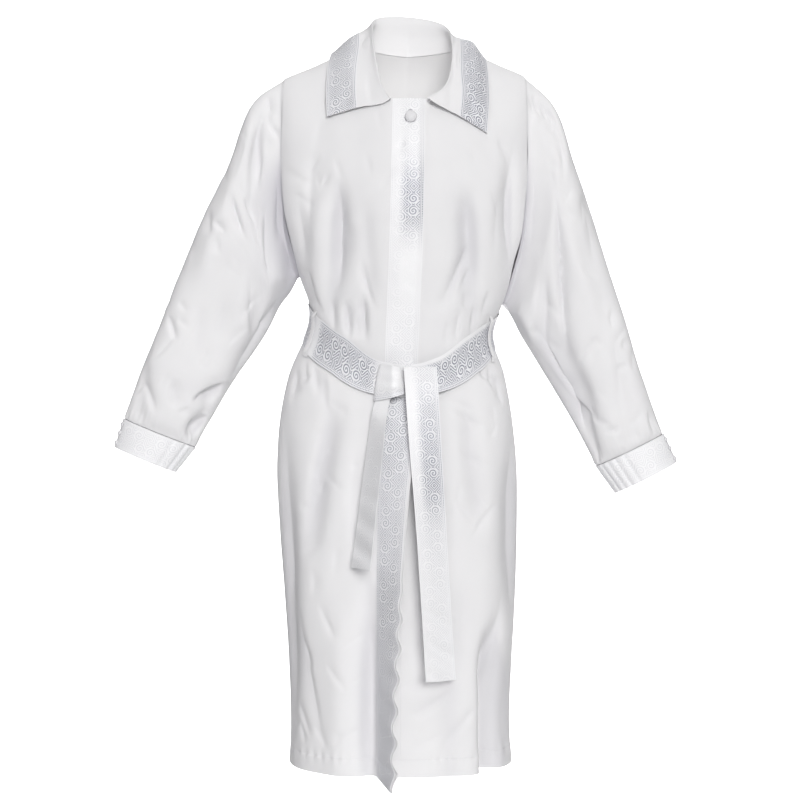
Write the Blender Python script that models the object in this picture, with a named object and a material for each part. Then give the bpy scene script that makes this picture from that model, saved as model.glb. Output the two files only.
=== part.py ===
"""White kittel, filled out as if worn, with a ribbon collar, placket, cuffs and tied belt.

Metres, +Z up, the front faces -Y and the wearer's left is at +X. The origin is the centre of the
neck base, where the wearer's neck and shoulders carry the garment. Every cloth piece is a thin
closed wall over a grid of points worked out from the section tables below.
"""
import math

import bpy
import numpy as np

# Cloth and ribbon
CLOTH_WALL = 0.0018
RIBBON_WALL = 0.0012
SEAM_GAP = 0.0005
LAY_GAP = 0.0004

# Body sections: height, half width at -X, half width at +X, depth in front, depth behind
BODY_COLUMNS = ("z", "left", "right", "front", "back")
BODY_SECTIONS = (
    (-1.130, 0.189, 0.166, 0.124, 0.116),
    (-1.060, 0.187, 0.162, 0.123, 0.116),
    (-0.960, 0.190, 0.165, 0.121, 0.116),
    (-0.850, 0.197, 0.171, 0.119, 0.115),
    (-0.740, 0.205, 0.174, 0.117, 0.114),
    (-0.640, 0.209, 0.173, 0.114, 0.113),
    (-0.570, 0.204, 0.166, 0.110, 0.110),
    (-0.500, 0.190, 0.154, 0.104, 0.104),
    (-0.440, 0.169, 0.141, 0.101, 0.098),
    (-0.387, 0.162, 0.1536, 0.104, 0.101),
    (-0.344, 0.1736, 0.165, 0.108, 0.106),
    (-0.250, 0.196, 0.184, 0.116, 0.112),
    (-0.160, 0.204, 0.196, 0.117, 0.112),
    (-0.080, 0.208, 0.200, 0.113, 0.110),
    (0.080, 0.212, 0.204, 0.110, 0.108),
)
SECTION_POWER = 2.3

# Shoulder line, and how far below it each face reaches its full depth
SHOULDER_PEAK = 0.064
SHOULDER_SLOPE = 0.48
CROWN_FRONT = 0.30
CROWN_FRONT_POWER = 1.7
CROWN_BACK = 0.22
CROWN_BACK_POWER = 2.0

# Hem, underarm and shoulder tip of each side
HEM_HEIGHT = -1.115
UNDERARM = {"left": (-0.1736, -0.344), "right": (0.1536, -0.387)}
TIP_X = {"left": -0.192, "right": 0.182}
ARMHOLE_EASE = 0.6

# Neckline
NECK_SIDE_X = {"left": -0.074, "right": 0.084}
NECK_FRONT_Z = -0.087
NECK_BACK_Z = 0.021
COLLAR_END_X = {"left": -0.0275, "right": 0.0300}

# Front lap: the wearer's right front lies on top
LAP_APART = 0.003
LAP_FULL = 0.030
LAP_FADE = 0.050
BAND_WIDTH = 0.050
BAND_COLUMNS = ("z", "edge", "inner", "forward")
BAND_ROWS = (
    (-1.130, -0.025, -0.048, 0.046),
    (-1.060, -0.025, -0.048, 0.044),
    (-0.913, -0.018, -0.049, 0.038),
    (-0.790, -0.011, -0.048, 0.031),
    (-0.684, -0.003, -0.046, 0.022),
    (-0.600, 0.006, -0.042, 0.008),
    (-0.545, 0.010, -0.039, 0.001),
    (-0.500, 0.013, -0.037, 0.000),
    (-0.400, 0.018, -0.033, 0.000),
    (-0.300, 0.022, -0.029, 0.000),
    (-0.083, 0.026, -0.024, 0.000),
)
BAND_CURL = 1.15
BAND_DIP = 0.008
BAND_DIP_REACH = 0.20
UNDER_LAP = 0.004

# Belt line and its width
BELT_WIDTH = 0.050
BELT_COLUMNS = ("angle", "z")
BELT_ROWS = (
    (-180.0, -0.402),
    (-120.0, -0.404),
    (-90.0, -0.412),
    (-60.0, -0.440),
    (-35.0, -0.470),
    (-12.0, -0.506),
    (0.0, -0.512),
    (15.0, -0.502),
    (40.0, -0.470),
    (62.0, -0.446),
    (90.0, -0.428),
    (120.0, -0.410),
    (180.0, -0.402),
)
BELT_LIFT = 0.0040
BELT_LAP_LIFT = 0.0042
BELT_START_X = 0.004
BELT_END_X = -0.006
CINCH_DEPTH = 0.007
CINCH_REACH = 0.042

# Folds of the body: face, x and height of both ends, half width, height outward
FOLD_FADE_IN = 0.35
FOLD_FADE_OUT = 0.25
FOLD_COLUMNS = ("face", "x_top", "z_top", "x_bottom", "z_bottom", "width", "rise")
BODY_FOLDS = (
    ("front", -0.104, -0.175, -0.125, -0.440, 0.013, -0.007),
    ("front", -0.140, -0.200, -0.140, -0.430, 0.014, 0.005),
    ("front", -0.069, -0.220, -0.055, -0.400, 0.012, -0.004),
    ("front", 0.090, -0.190, 0.098, -0.440, 0.015, -0.007),
    ("front", 0.092, -0.300, 0.046, -0.410, 0.012, -0.004),
    ("front", -0.096, -0.500, -0.147, -0.800, 0.016, -0.007),
    ("front", 0.084, -0.500, 0.112, -0.760, 0.016, -0.006),
    ("front", -0.058, -0.760, -0.060, -1.200, 0.014, -0.009),
    ("front", -0.105, -0.800, -0.108, -1.200, 0.020, 0.005),
    ("front", 0.060, -0.780, 0.066, -1.200, 0.020, -0.006),
    ("front", 0.126, -0.880, 0.130, -1.180, 0.013, -0.040),
    ("back", -0.090, -0.430, -0.100, -0.760, 0.018, -0.007),
    ("back", 0.085, -0.430, 0.095, -0.740, 0.018, -0.007),
    ("back", -0.010, -0.430, 0.010, -0.700, 0.018, 0.006),
    ("back", -0.110, -0.180, -0.075, -0.400, 0.016, -0.007),
    ("back", 0.110, -0.200, 0.070, -0.400, 0.016, -0.007),
    ("back", -0.070, -0.800, -0.075, -1.200, 0.022, -0.012),
    ("back", 0.050, -0.780, 0.060, -1.200, 0.022, -0.013),
    ("back", -0.010, -0.820, -0.010, -1.200, 0.022, 0.006),
)

# Sleeves: outer line x and z, inner line x and z, half depth, middle y
SLEEVE_COLUMNS = ("t", "top_x", "top_z", "low_x", "low_z", "depth", "middle")
SLEEVE_LEFT = (
    (0.00, -0.192, -0.028, -0.1736, -0.344, 0.058, 0.000),
    (0.10, -0.240, -0.063, -0.187, -0.367, 0.060, 0.000),
    (0.27, -0.288, -0.172, -0.205, -0.391, 0.062, 0.000),
    (0.42, -0.328, -0.253, -0.224, -0.429, 0.058, -0.002),
    (0.57, -0.365, -0.343, -0.246, -0.464, 0.053, -0.004),
    (0.72, -0.400, -0.434, -0.272, -0.501, 0.049, -0.007),
    (0.86, -0.427, -0.500, -0.300, -0.546, 0.046, -0.010),
    (0.96, -0.446, -0.556, -0.330, -0.600, 0.036, -0.013),
    (1.00, -0.450, -0.570, -0.338, -0.615, 0.026, -0.014),
)
SLEEVE_RIGHT = (
    (0.00, 0.182, -0.0235, 0.1536, -0.387, 0.058, 0.000),
    (0.10, 0.226, -0.066, 0.1664, -0.407, 0.060, 0.000),
    (0.27, 0.262, -0.157, 0.181, -0.437, 0.062, 0.000),
    (0.42, 0.291, -0.240, 0.200, -0.469, 0.058, -0.002),
    (0.57, 0.318, -0.330, 0.221, -0.504, 0.053, -0.004),
    (0.72, 0.344, -0.410, 0.246, -0.546, 0.049, -0.007),
    (0.86, 0.371, -0.501, 0.272, -0.592, 0.046, -0.010),
    (0.96, 0.399, -0.580, 0.294, -0.635, 0.036, -0.013),
    (1.00, 0.404, -0.594, 0.299, -0.645, 0.026, -0.014),
)

# Cuff ends: outer line x and z, inner line x and z, half depth, middle y
CUFF_LEFT_END = (-0.464, -0.616, -0.370, -0.655, 0.028, -0.014)
CUFF_RIGHT_END = (0.425, -0.640, 0.330, -0.688, 0.028, -0.014)
CUFF_EASE = 0.0015
CUFF_SEAM_GAP = 0.001

# Share of the sleeve over which it takes the armhole's shape
SLEEVE_HEAD = 0.34

# Folds of a sleeve: turn and place of both ends, half width in turns, height outward
SLEEVE_FOLD_COLUMNS = ("turn_start", "t_start", "turn_end", "t_end", "width", "rise")
SLEEVE_FOLDS_LEFT = (
    (0.16, 0.04, 0.28, 0.26, 0.030, -0.005),
    (0.12, 0.02, 0.20, 0.60, 0.040, 0.004),
    (0.30, 0.20, 0.42, 0.52, 0.040, -0.006),
    (0.42, 0.05, 0.33, 0.34, 0.034, 0.005),
    (0.36, 0.74, 0.44, 1.00, 0.045, -0.006),
    (0.08, 0.80, 0.16, 1.00, 0.045, -0.005),
    (0.72, 0.10, 0.64, 0.60, 0.045, -0.006),
    (0.86, 0.05, 0.78, 0.50, 0.040, -0.005),
    (0.62, 0.66, 0.70, 1.00, 0.045, -0.005),
    (0.88, 0.74, 0.84, 1.00, 0.040, -0.005),
)
SLEEVE_FOLDS_RIGHT = (
    (0.22, 0.05, 0.22, 0.72, 0.034, 0.006),
    (0.31, 0.12, 0.34, 0.92, 0.040, -0.008),
    (0.10, 0.02, 0.14, 0.26, 0.030, -0.005),
    (0.43, 0.04, 0.40, 0.40, 0.036, 0.005),
    (0.20, 0.78, 0.24, 1.00, 0.036, -0.006),
    (0.40, 0.74, 0.42, 1.00, 0.036, -0.006),
    (0.72, 0.10, 0.66, 0.60, 0.045, -0.006),
    (0.86, 0.05, 0.80, 0.50, 0.040, -0.005),
    (0.62, 0.66, 0.70, 1.00, 0.045, -0.005),
    (0.88, 0.74, 0.84, 1.00, 0.040, -0.005),
)

# Collar stations from the end at -X round the back: roll line, then outer edge
COLLAR_COLUMNS = ("turn", "roll_x", "roll_y", "roll_z", "edge_x", "edge_y", "edge_z", "belly")
COLLAR_STATIONS = (
    (-1.00, -0.0275, -0.099, -0.0770, -0.126, -0.100, -0.101, 0.004),
    (-0.86, -0.0410, -0.086, -0.0560, -0.128, -0.083, -0.066, 0.006),
    (-0.68, -0.0520, -0.056, -0.0040, -0.126, -0.044, -0.012, 0.006),
    (-0.50, -0.0580, 0.000, 0.0520, -0.119, 0.010, 0.017, 0.006),
    (-0.30, -0.0530, 0.044, 0.0800, -0.098, 0.070, 0.016, 0.006),
    (0.00, 0.0060, 0.062, 0.0870, 0.004, 0.100, 0.016, 0.006),
    (0.30, 0.0600, 0.040, 0.0680, 0.096, 0.074, 0.010, 0.008),
    (0.50, 0.0710, -0.004, 0.0360, 0.118, 0.020, 0.007, 0.014),
    (0.68, 0.0690, -0.048, -0.0160, 0.124, -0.030, -0.018, 0.018),
    (0.86, 0.0550, -0.082, -0.0570, 0.126, -0.084, -0.078, 0.012),
    (1.00, 0.0300, -0.100, -0.0755, 0.122, -0.112, -0.128, 0.006),
)
ROLL_RADIUS = 0.0045
ROLL_CLEARANCE = 0.0032
ROLL_INNER = 0.6
ROLL_OUTER = 0.9
ROLL_OUTER_DROP = 0.8
ROLL_END_TAPER = 0.6
ROLL_TAPER_TURN = 0.75
BELLY_OUT = 0.55
BELLY_UP = 0.83
COLLAR_CLEARANCE = 0.0046
COLLAR_SEAM_GAP = 0.0012
COLLAR_RIBBON_WIDTH = 0.050
COLLAR_RIBBON_GAP = 0.0007

# Belt ends: height, middle x, half width along x, y, y turn from edge to edge
TAIL_COLUMNS = ("z", "x", "half", "y", "turn")
LONG_TAIL = (
    (-0.508, 0.0182, 0.0250, -0.1084, 0.000),
    (-0.497, 0.0180, 0.0250, -0.1078, 0.000),
    (-0.490, 0.0180, 0.0250, -0.1145, 0.000),
    (-0.500, 0.0185, 0.0250, -0.1215, 0.000),
    (-0.530, 0.0205, 0.0250, -0.1300, 0.000),
    (-0.600, 0.0250, 0.0245, -0.1345, 0.004),
    (-0.742, 0.0350, 0.0230, -0.1390, 0.010),
    (-0.887, 0.0440, 0.0225, -0.1420, 0.012),
    (-0.964, 0.0490, 0.0230, -0.1430, 0.010),
)
SHORT_TAIL = (
    (-0.5390, -0.0390, 0.0110, -0.1185, -0.0060),
    (-0.5600, -0.0435, 0.0115, -0.1280, -0.0140),
    (-0.5900, -0.0480, 0.0120, -0.1360, -0.0190),
    (-0.6500, -0.0550, 0.0120, -0.1410, -0.0210),
    (-0.7200, -0.0630, 0.0125, -0.1430, -0.0210),
    (-0.7950, -0.0720, 0.0140, -0.1440, -0.0200),
)

# Knot: a turn of ribbon round the belt's crossing
KNOT_X = -0.0235
KNOT_Y = -0.1186
KNOT_Z = -0.5130
KNOT_HALF_WIDTH = 0.0158
KNOT_HALF_DEPTH = 0.0095
KNOT_HALF_HEIGHT = 0.0240
KNOT_PINCH = 0.22
KNOT_TILT = 0.10
KNOT_OPEN_START = -40.0
KNOT_OPEN_END = 250.0

# Buttons: share of the radius and of the height of each ring
BUTTON_RINGS = ((1.0, 0.0), (1.0, 0.30), (0.86, 0.68), (0.52, 0.93))
NECK_BUTTON_RADIUS = 0.0095
NECK_BUTTON_HEIGHT = 0.0065
NECK_BUTTON_PLACE = (0.0035, -0.107)
CUFF_BUTTON_RADIUS = 0.0043
CUFF_BUTTON_HEIGHT = 0.0030
CUFF_BUTTON_TURN = 0.045
CUFF_BUTTON_PLACES = (0.20, 0.50, 0.84)
CUFF_BUTTON_SEAT = 0.0001
BUTTON_SEAT = 0.0001

# Belt loops
LOOP_WIDTH = 0.008
LOOP_HEIGHT = 0.071
LOOP_RADIUS = 0.110
LOOP_LIFT = 0.0070
LOOP_FOOT = 0.0017
LOOP_SHARES = (-1.0, -0.93, -0.62, -0.31, 0.0, 0.31, 0.62, 0.93, 1.0)
LOOP_ANGLES = {"right": -62.0, "left": 62.0}

# Back neck facing
FACING_WALL = 0.0010

# Grid sizes
ROWS_LOW = 19
ROWS_CHEST = 5
ROWS_NECK = 5
OVER_COLUMNS = 11
UNDER_FRACTIONS = (0.0, 0.12, 0.24, 0.35, 0.45, 0.53, 0.59, 0.64, 0.69, 0.74, 0.80, 0.88, 1.0)
BACK_SIDE_COLUMNS = 7
BACK_NECK_COLUMNS = 8
BACK_EDGE_POWER = 4
BACK_EVEN_SPEED = 1.4
FACING_ROWS = 3
SLEEVE_TURNS = 28
SLEEVE_RINGS = 15
CUFF_RINGS = 3
COLLAR_STEPS = 32
RIBBON_CELLS = 3
BELT_STEPS = 44
TAIL_CELLS = 3
LONG_TAIL_ROWS = 14
SHORT_TAIL_ROWS = 10
KNOT_STEPS = 14
KNOT_ROWS = 4
BUTTON_SIDES = 12
SHARP_ANGLE = 50.0

# Colours and finishes: base colour, roughness
WHITE_CLOTH = ((0.83, 0.83, 0.86, 1.0), 0.80)
RIBBON_CLOTH = ((0.78, 0.78, 0.81, 1.0), 0.45)
BUTTON_CLOTH = ((0.82, 0.82, 0.85, 1.0), 0.60)


def smooth_step(value):
    """Ease from 0 to 1 with level ends."""
    t = np.clip(value, 0.0, 1.0)
    return t * t * (3.0 - 2.0 * t)


def along(table, column, names, where):
    """Read one named column of a table at any place by a cubic through its rows."""
    rows = np.array(table, dtype=float)
    places = rows[:, 0]
    values = rows[:, names.index(column)]
    slopes = np.gradient(values, places)
    where = np.clip(where, places[0], places[-1])
    index = np.clip(np.searchsorted(places, where) - 1, 0, len(places) - 2)
    step = places[index + 1] - places[index]
    t = (where - places[index]) / step
    start = values[index] * (1 + 2 * t) * (1 - t) ** 2 + slopes[index] * step * t * (1 - t) ** 2
    end = values[index + 1] * t * t * (3 - 2 * t) + slopes[index + 1] * step * t * t * (t - 1)
    return start + end


def body(column, z):
    """Read one column of the body sections."""
    return along(BODY_SECTIONS, column, BODY_COLUMNS, z)


def half_width(x, z):
    """Give the half width on the side where x lies."""
    return np.where(x < 0.0, body("left", z), body("right", z))


def shoulder_height(x):
    """Give the height of the shoulder line over x."""
    return SHOULDER_PEAK - SHOULDER_SLOPE * np.abs(x)


def crown(x, z, front):
    """Give the share of full depth that a face has below the shoulder line."""
    reach = np.where(front, CROWN_FRONT, CROWN_BACK)
    power = np.where(front, CROWN_FRONT_POWER, CROWN_BACK_POWER)
    drop = np.clip((shoulder_height(x) - z) / reach, 0.0, 1.0)
    return (1.0 - (1.0 - drop) ** power) ** (1.0 / power)


def belt_height(theta):
    """Give the height of the belt's middle at an angle from the front."""
    return along(BELT_ROWS, "z", BELT_COLUMNS, np.degrees(theta))


def fold_rise(x, z, front):
    """Add up the folds of the body at a place."""
    total = np.zeros(np.broadcast(x, z).shape)
    for row in BODY_FOLDS:
        fold = dict(zip(FOLD_COLUMNS, row))
        t = (fold["z_top"] - z) / (fold["z_top"] - fold["z_bottom"])
        fade = smooth_step(t / FOLD_FADE_IN) * smooth_step((1.0 - t) / FOLD_FADE_OUT)
        middle = fold["x_top"] + (fold["x_bottom"] - fold["x_top"]) * t
        across = np.exp(-((x - middle) / fold["width"]) ** 2)
        here = front == (fold["face"] == "front")
        total = total + np.where(here, fold["rise"] * fade * across, 0.0)
    return total


def body_point(theta, z, lift=0.0):
    """Place a point of the body at an angle from the front, lifted off the cloth.

    The section is a superellipse, |x/half|^n + |y/depth|^n = 1, drawn in under the belt.
    """
    theta, z = np.broadcast_arrays(np.asarray(theta, float), np.asarray(z, float))
    sine = np.sin(theta)
    cosine = np.cos(theta)
    front = cosine >= 0.0
    half = np.where(sine < 0.0, body("left", z), body("right", z))
    depth = np.where(front, body("front", z), body("back", z))
    x = half * np.sign(sine) * np.abs(sine) ** (2.0 / SECTION_POWER)
    y = -depth * np.sign(cosine) * np.abs(cosine) ** (2.0 / SECTION_POWER) * crown(x, z, front)
    across = np.sign(sine) * np.abs(sine) ** (2.0 - 2.0 / SECTION_POWER) / half
    ahead = -np.sign(cosine) * np.abs(cosine) ** (2.0 - 2.0 / SECTION_POWER) / depth
    size = np.hypot(across, ahead)
    cinch = CINCH_DEPTH * np.exp(-((z - belt_height(theta)) / CINCH_REACH) ** 2)
    rise = fold_rise(x, z, front) - cinch + lift
    return np.stack([x + across / size * rise, y + ahead / size * rise, z], axis=-1)


def angle_of(x, z, front):
    """Give the angle from the front at which the section has this x."""
    share = np.clip(np.abs(x) / half_width(x, z), 0.0, 1.0)
    theta = np.arcsin(share ** (SECTION_POWER / 2.0))
    theta = np.where(front, theta, math.pi - theta)
    return np.where(np.asarray(x) < 0.0, -theta, theta)


def grid_normals(points, loop=False):
    """Work out outward normals of a grid whose columns run to the right seen from outside."""
    if loop:
        across = np.roll(points, -1, axis=1) - np.roll(points, 1, axis=1)
    else:
        across = np.gradient(points, axis=1)
    up = np.gradient(points, axis=0)
    normal = np.cross(across, up)
    size = np.linalg.norm(normal, axis=-1, keepdims=True)
    return normal / np.maximum(size, 1e-12)


def finish_material(name, finish):
    """Make the piece's own material."""
    material = bpy.data.materials.new(name)
    material.use_nodes = True
    shader = material.node_tree.nodes["Principled BSDF"]
    shader.inputs["Base Color"].default_value = finish[0]
    shader.inputs["Roughness"].default_value = finish[1]
    shader.inputs["Metallic"].default_value = 0.0
    return material


def wall(name, outer, inner, finish, loop=False, keep=None):
    """Build one closed wall between two grids of points.

    A loop joins its last column to its first. Cells outside the mask are left out, and every
    open edge gets a rim.
    """
    rows, columns = outer.shape[:2]
    cells = columns if loop else columns - 1
    if keep is None:
        keep = np.ones((rows - 1, cells), dtype=bool)
    count = rows * columns
    points = np.concatenate([outer.reshape(-1, 3), inner.reshape(-1, 3)])
    faces = []

    def corner(row, column):
        return row * columns + column % columns

    def kept(row, column):
        if loop:
            column %= cells
        return 0 <= row < rows - 1 and 0 <= column < cells and keep[row, column]

    for row in range(rows - 1):
        for column in range(cells):
            if not keep[row, column]:
                continue
            a = corner(row, column)
            b = corner(row, column + 1)
            c = corner(row + 1, column + 1)
            d = corner(row + 1, column)
            faces += [(a, b, c), (a, c, d)]
            faces += [(count + a, count + c, count + b), (count + a, count + d, count + c)]
            sides = (
                (a, b, kept(row - 1, column)),
                (b, c, kept(row, column + 1)),
                (c, d, kept(row + 1, column)),
                (d, a, kept(row, column - 1)),
            )
            for start, end, shared in sides:
                if not shared:
                    faces += [(start, count + start, count + end), (start, count + end, end)]
    return solid(name, points, faces, finish)


def solid(name, points, faces, finish):
    """Make one smooth-shaded object from points and faces."""
    used = sorted({index for face in faces for index in face})
    place = {index: number for number, index in enumerate(used)}
    first, second, third = (points[[face[k] for face in faces]] for k in range(3))
    if np.sum(first * np.cross(second, third)) < 0.0:
        faces = [face[::-1] for face in faces]
    mesh = bpy.data.meshes.new(name)
    corners = [tuple(float(value) for value in points[index]) for index in used]
    mesh.from_pydata(corners, [], [tuple(place[index] for index in face) for face in faces])
    mesh.validate()
    mesh.shade_smooth()
    mesh.set_sharp_from_angle(angle=math.radians(SHARP_ANGLE))
    mesh.materials.append(finish_material(name, finish))
    piece = bpy.data.objects.new(name, mesh)
    bpy.context.scene.collection.objects.link(piece)
    return piece


def armhole(side, share):
    """Give x and z of the armhole seam from the underarm at 0 to the shoulder tip at 1."""
    under_x, under_z = UNDERARM[side]
    tip_x = TIP_X[side]
    tip_z = shoulder_height(tip_x)
    x = under_x + (tip_x - under_x) * smooth_step(share / ARMHOLE_EASE)
    z = under_z + (tip_z - under_z) * (1.0 - np.cos(math.pi * share)) / 2.0
    return x, z


def armhole_point(side, share, front):
    """Place the armhole seam on the body."""
    x, z = armhole(side, share)
    return body_point(angle_of(x, z, front), z)


def neckline(side, share, front):
    """Give x and z of the neckline from its middle at 0 to the side of the neck at 1."""
    side_x = NECK_SIDE_X[side]
    side_z = shoulder_height(side_x)
    middle_z = NECK_FRONT_Z if front else NECK_BACK_Z
    turn = share * math.pi / 2.0
    centre_x = (NECK_SIDE_X["left"] + NECK_SIDE_X["right"]) / 2.0
    x = centre_x + (side_x - centre_x) * np.sin(turn)
    z = side_z + (middle_z - side_z) * np.cos(turn)
    return x, z


def collar_end_share(side):
    """Find where on the front neckline the collar ends."""
    centre_x = (NECK_SIDE_X["left"] + NECK_SIDE_X["right"]) / 2.0
    share = (COLLAR_END_X[side] - centre_x) / (NECK_SIDE_X[side] - centre_x)
    return math.asin(share) * 2.0 / math.pi


def lap_share(x):
    """Give the share of the lap's spacing over x, which fades out beside the lap."""
    return 1.0 - smooth_step((np.abs(x) - LAP_FULL) / LAP_FADE)


def band(column, z):
    """Read one column of the front band's rows."""
    return along(BAND_ROWS, column, BAND_COLUMNS, z)


def front_grid(side, fractions):
    """Work out the points of one front: two band columns at its edge, then out to the side.

    Rows run from the hem to the underarm, up to the front of the neck, then up the neckline.
    """
    over = side == "left"
    under_x, under_z = UNDERARM[side]
    sign = -1.0 if over else 1.0
    end = collar_end_share(side)
    end_z = float(neckline(side, end, True)[1])
    rows = []
    for row in range(ROWS_LOW + ROWS_CHEST + ROWS_NECK + 1):
        low = row <= ROWS_LOW
        share = max(0.0, (row - ROWS_LOW) / (ROWS_CHEST + ROWS_NECK))
        if low:
            z_in = HEM_HEIGHT + (under_z - HEM_HEIGHT) * row / ROWS_LOW
            x_out = float(sign * half_width(sign, z_in))
            z_out = z_in
        else:
            x_out, z_out = (float(value) for value in armhole(side, share))
        if row > ROWS_LOW + ROWS_CHEST:
            climb = (row - ROWS_LOW - ROWS_CHEST) / ROWS_NECK
            place = neckline(side, end + (1.0 - end) * climb, True)
            x_in, z_in = (float(value) for value in place)
            x_edge = x_in - sign * BAND_WIDTH
        else:
            if not low:
                z_in = under_z + (end_z - under_z) * (row - ROWS_LOW) / ROWS_CHEST
            x_edge = float(band("edge" if over else "inner", z_in))
            x_edge -= 0.0 if over else UNDER_LAP
            x_in = float(band("inner", z_in)) if over else COLLAR_END_X[side]
        half = float(half_width(sign, z_out))
        theta_in = math.asin(min(1.0, abs(x_in) / half) ** (SECTION_POWER / 2.0))
        theta_out = math.asin(min(1.0, abs(x_out) / half) ** (SECTION_POWER / 2.0))
        theta = theta_in + (theta_out - theta_in) * np.array(fractions)
        x = sign * half * np.sin(theta) ** (2.0 / SECTION_POWER)
        z = z_in + (z_out - z_in) * (x - x_in) / (x_out - x_in)
        x = np.concatenate([[x_edge, (x_edge + x_in) / 2.0], x])
        z = np.concatenate([[z_in, z_in], z])
        rows.append(np.stack([x, z], axis=-1))
    flat = np.array(rows)
    x, z = flat[..., 0], flat[..., 1]
    points = body_point(angle_of(x, z, True), z)
    points[..., 1] += (-LAP_APART if over else LAP_APART) * lap_share(x)
    if over:
        edge = band("edge", z)
        inner = band("inner", z)
        share = np.clip((x - inner) / (edge - inner), 0.0, 1.0)
        low = smooth_step((HEM_HEIGHT + BAND_DIP_REACH - z) / BAND_DIP_REACH)
        points[..., 1] -= band("forward", z) * share ** BAND_CURL
        points[..., 2] -= BAND_DIP * share * low
    return points


def seam_normals(points, normals, side, front):
    """Set the seams' own directions: the side seam, the armhole and the shoulder."""
    column = -1
    sign = -1.0 if side == "left" else 1.0
    away = (1.0 if front else -1.0) * SEAM_GAP / 2.0
    middle = (armhole_point(side, 0.0, front) + armhole_point(side, 1.0, front)) / 2.0
    normals[:ROWS_LOW, column] = (sign, 0.0, 0.0)
    points[:ROWS_LOW, column, 1] = -away
    for row in range(ROWS_LOW, len(points)):
        spoke = points[row, column] - middle
        spoke[0] = 0.0
        normals[row, column] = spoke / np.linalg.norm(spoke)
        points[row, column, 0] -= sign * SEAM_GAP / 2.0
        part = max(abs(points[row, column, 1]), SEAM_GAP / 2.0)
        points[row, column, 1] = -part if front else part
    return points, normals


def top_normal(sign):
    """Give the direction straight out of the shoulder line on one side."""
    size = math.hypot(SHOULDER_SLOPE, 1.0)
    return (sign * SHOULDER_SLOPE / size, 0.0, 1.0 / size)


def front_piece(name, side, fractions):
    """Build one front panel and return its points and normals for what lies on it."""
    sign = -1.0 if side == "left" else 1.0
    points = front_grid(side, fractions)
    normals = grid_normals(points) * sign
    points, normals = seam_normals(points, normals, side, True)
    normals[-1, 2:-1] = top_normal(sign)
    points[-1, 2:, 1] = -SEAM_GAP / 2.0
    keep = np.ones((points.shape[0] - 1, points.shape[1] - 1), dtype=bool)
    keep[ROWS_LOW + ROWS_CHEST:, :2] = False
    inner = points - normals * CLOTH_WALL
    wall(name, points, inner, WHITE_CLOTH, keep=keep)
    return points, normals


def back_piece():
    """Build the back panel and return its points and normals for the facing."""
    left = np.linspace(TIP_X["left"], NECK_SIDE_X["left"], BACK_SIDE_COLUMNS + 1)
    turn = np.linspace(-1.0, 1.0, BACK_NECK_COLUMNS + 1)
    neck = np.array([neckline("left" if t < 0 else "right", abs(t), False) for t in turn])
    right = np.linspace(NECK_SIDE_X["right"], TIP_X["right"], BACK_SIDE_COLUMNS + 1)
    x_top = np.concatenate([left, neck[1:-1, 0], right])
    z_top = np.concatenate([shoulder_height(left), neck[1:-1, 1], shoulder_height(right)])
    share = np.where(x_top < 0, -x_top / TIP_X["left"], x_top / TIP_X["right"])
    side_share = (share + 1.0) / 2.0
    total = ROWS_LOW + ROWS_CHEST + ROWS_NECK
    rows = []
    for row in range(total + 1):
        climb = max(0.0, (row - ROWS_LOW) / (total - ROWS_LOW))
        if row <= ROWS_LOW:
            z_left = HEM_HEIGHT + (UNDERARM["left"][1] - HEM_HEIGHT) * row / ROWS_LOW
            z_right = HEM_HEIGHT + (UNDERARM["right"][1] - HEM_HEIGHT) * row / ROWS_LOW
            z = z_left + (z_right - z_left) * side_share
            outer = half_width(x_top, z)
        else:
            z_under = UNDERARM["left"][1]
            z_under = z_under + (UNDERARM["right"][1] - z_under) * side_share
            swing = (1.0 - math.cos(math.pi * climb)) / 2.0
            edge = np.abs(share) ** BACK_EDGE_POWER
            z = z_under + (z_top - z_under) * (climb + (swing - climb) * edge)
            outer_left = abs(float(armhole("left", climb)[0]))
            outer_right = abs(float(armhole("right", climb)[0]))
            outer = np.where(x_top < 0, outer_left, outer_right)
        even = np.sign(share) * np.sin(np.abs(share) * math.pi / 2.0) ** (2.0 / SECTION_POWER)
        flat = share + (even - share) * (1.0 - smooth_step(climb * BACK_EVEN_SPEED))
        x = flat * outer
        rows.append(body_point(angle_of(x, z, False), z))
    points = np.array(rows)
    normals = -grid_normals(points)
    points, normals = seam_normals_back(points, normals)
    inner = points - normals * CLOTH_WALL
    wall("back", points, inner, WHITE_CLOTH)
    return points, normals


def seam_normals_back(points, normals):
    """Set the directions of the back's side seams, armholes and shoulder seams."""
    flipped = points[:, ::-1].copy()
    flipped_normals = normals[:, ::-1].copy()
    flipped, flipped_normals = seam_normals(flipped, flipped_normals, "left", False)
    points = flipped[:, ::-1].copy()
    normals = flipped_normals[:, ::-1].copy()
    points, normals = seam_normals(points, normals, "right", False)
    last = BACK_SIDE_COLUMNS
    normals[-1, 1:last + 1] = top_normal(-1.0)
    normals[-1, -last - 1:-1] = top_normal(1.0)
    points[-1, :last + 1, 1] = SEAM_GAP / 2.0
    points[-1, -last - 1:, 1] = SEAM_GAP / 2.0
    return points, normals


def facing_piece(points, normals):
    """Lay the back neck facing inside the back, on its own points."""
    first = BACK_SIDE_COLUMNS
    block = slice(first, first + BACK_NECK_COLUMNS + 1)
    rows = slice(-FACING_ROWS, None)
    base = points[rows, block] - normals[rows, block] * (CLOTH_WALL + LAY_GAP)
    inner = base - normals[rows, block] * FACING_WALL
    wall("back_neck_facing", base, inner, WHITE_CLOTH)


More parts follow.
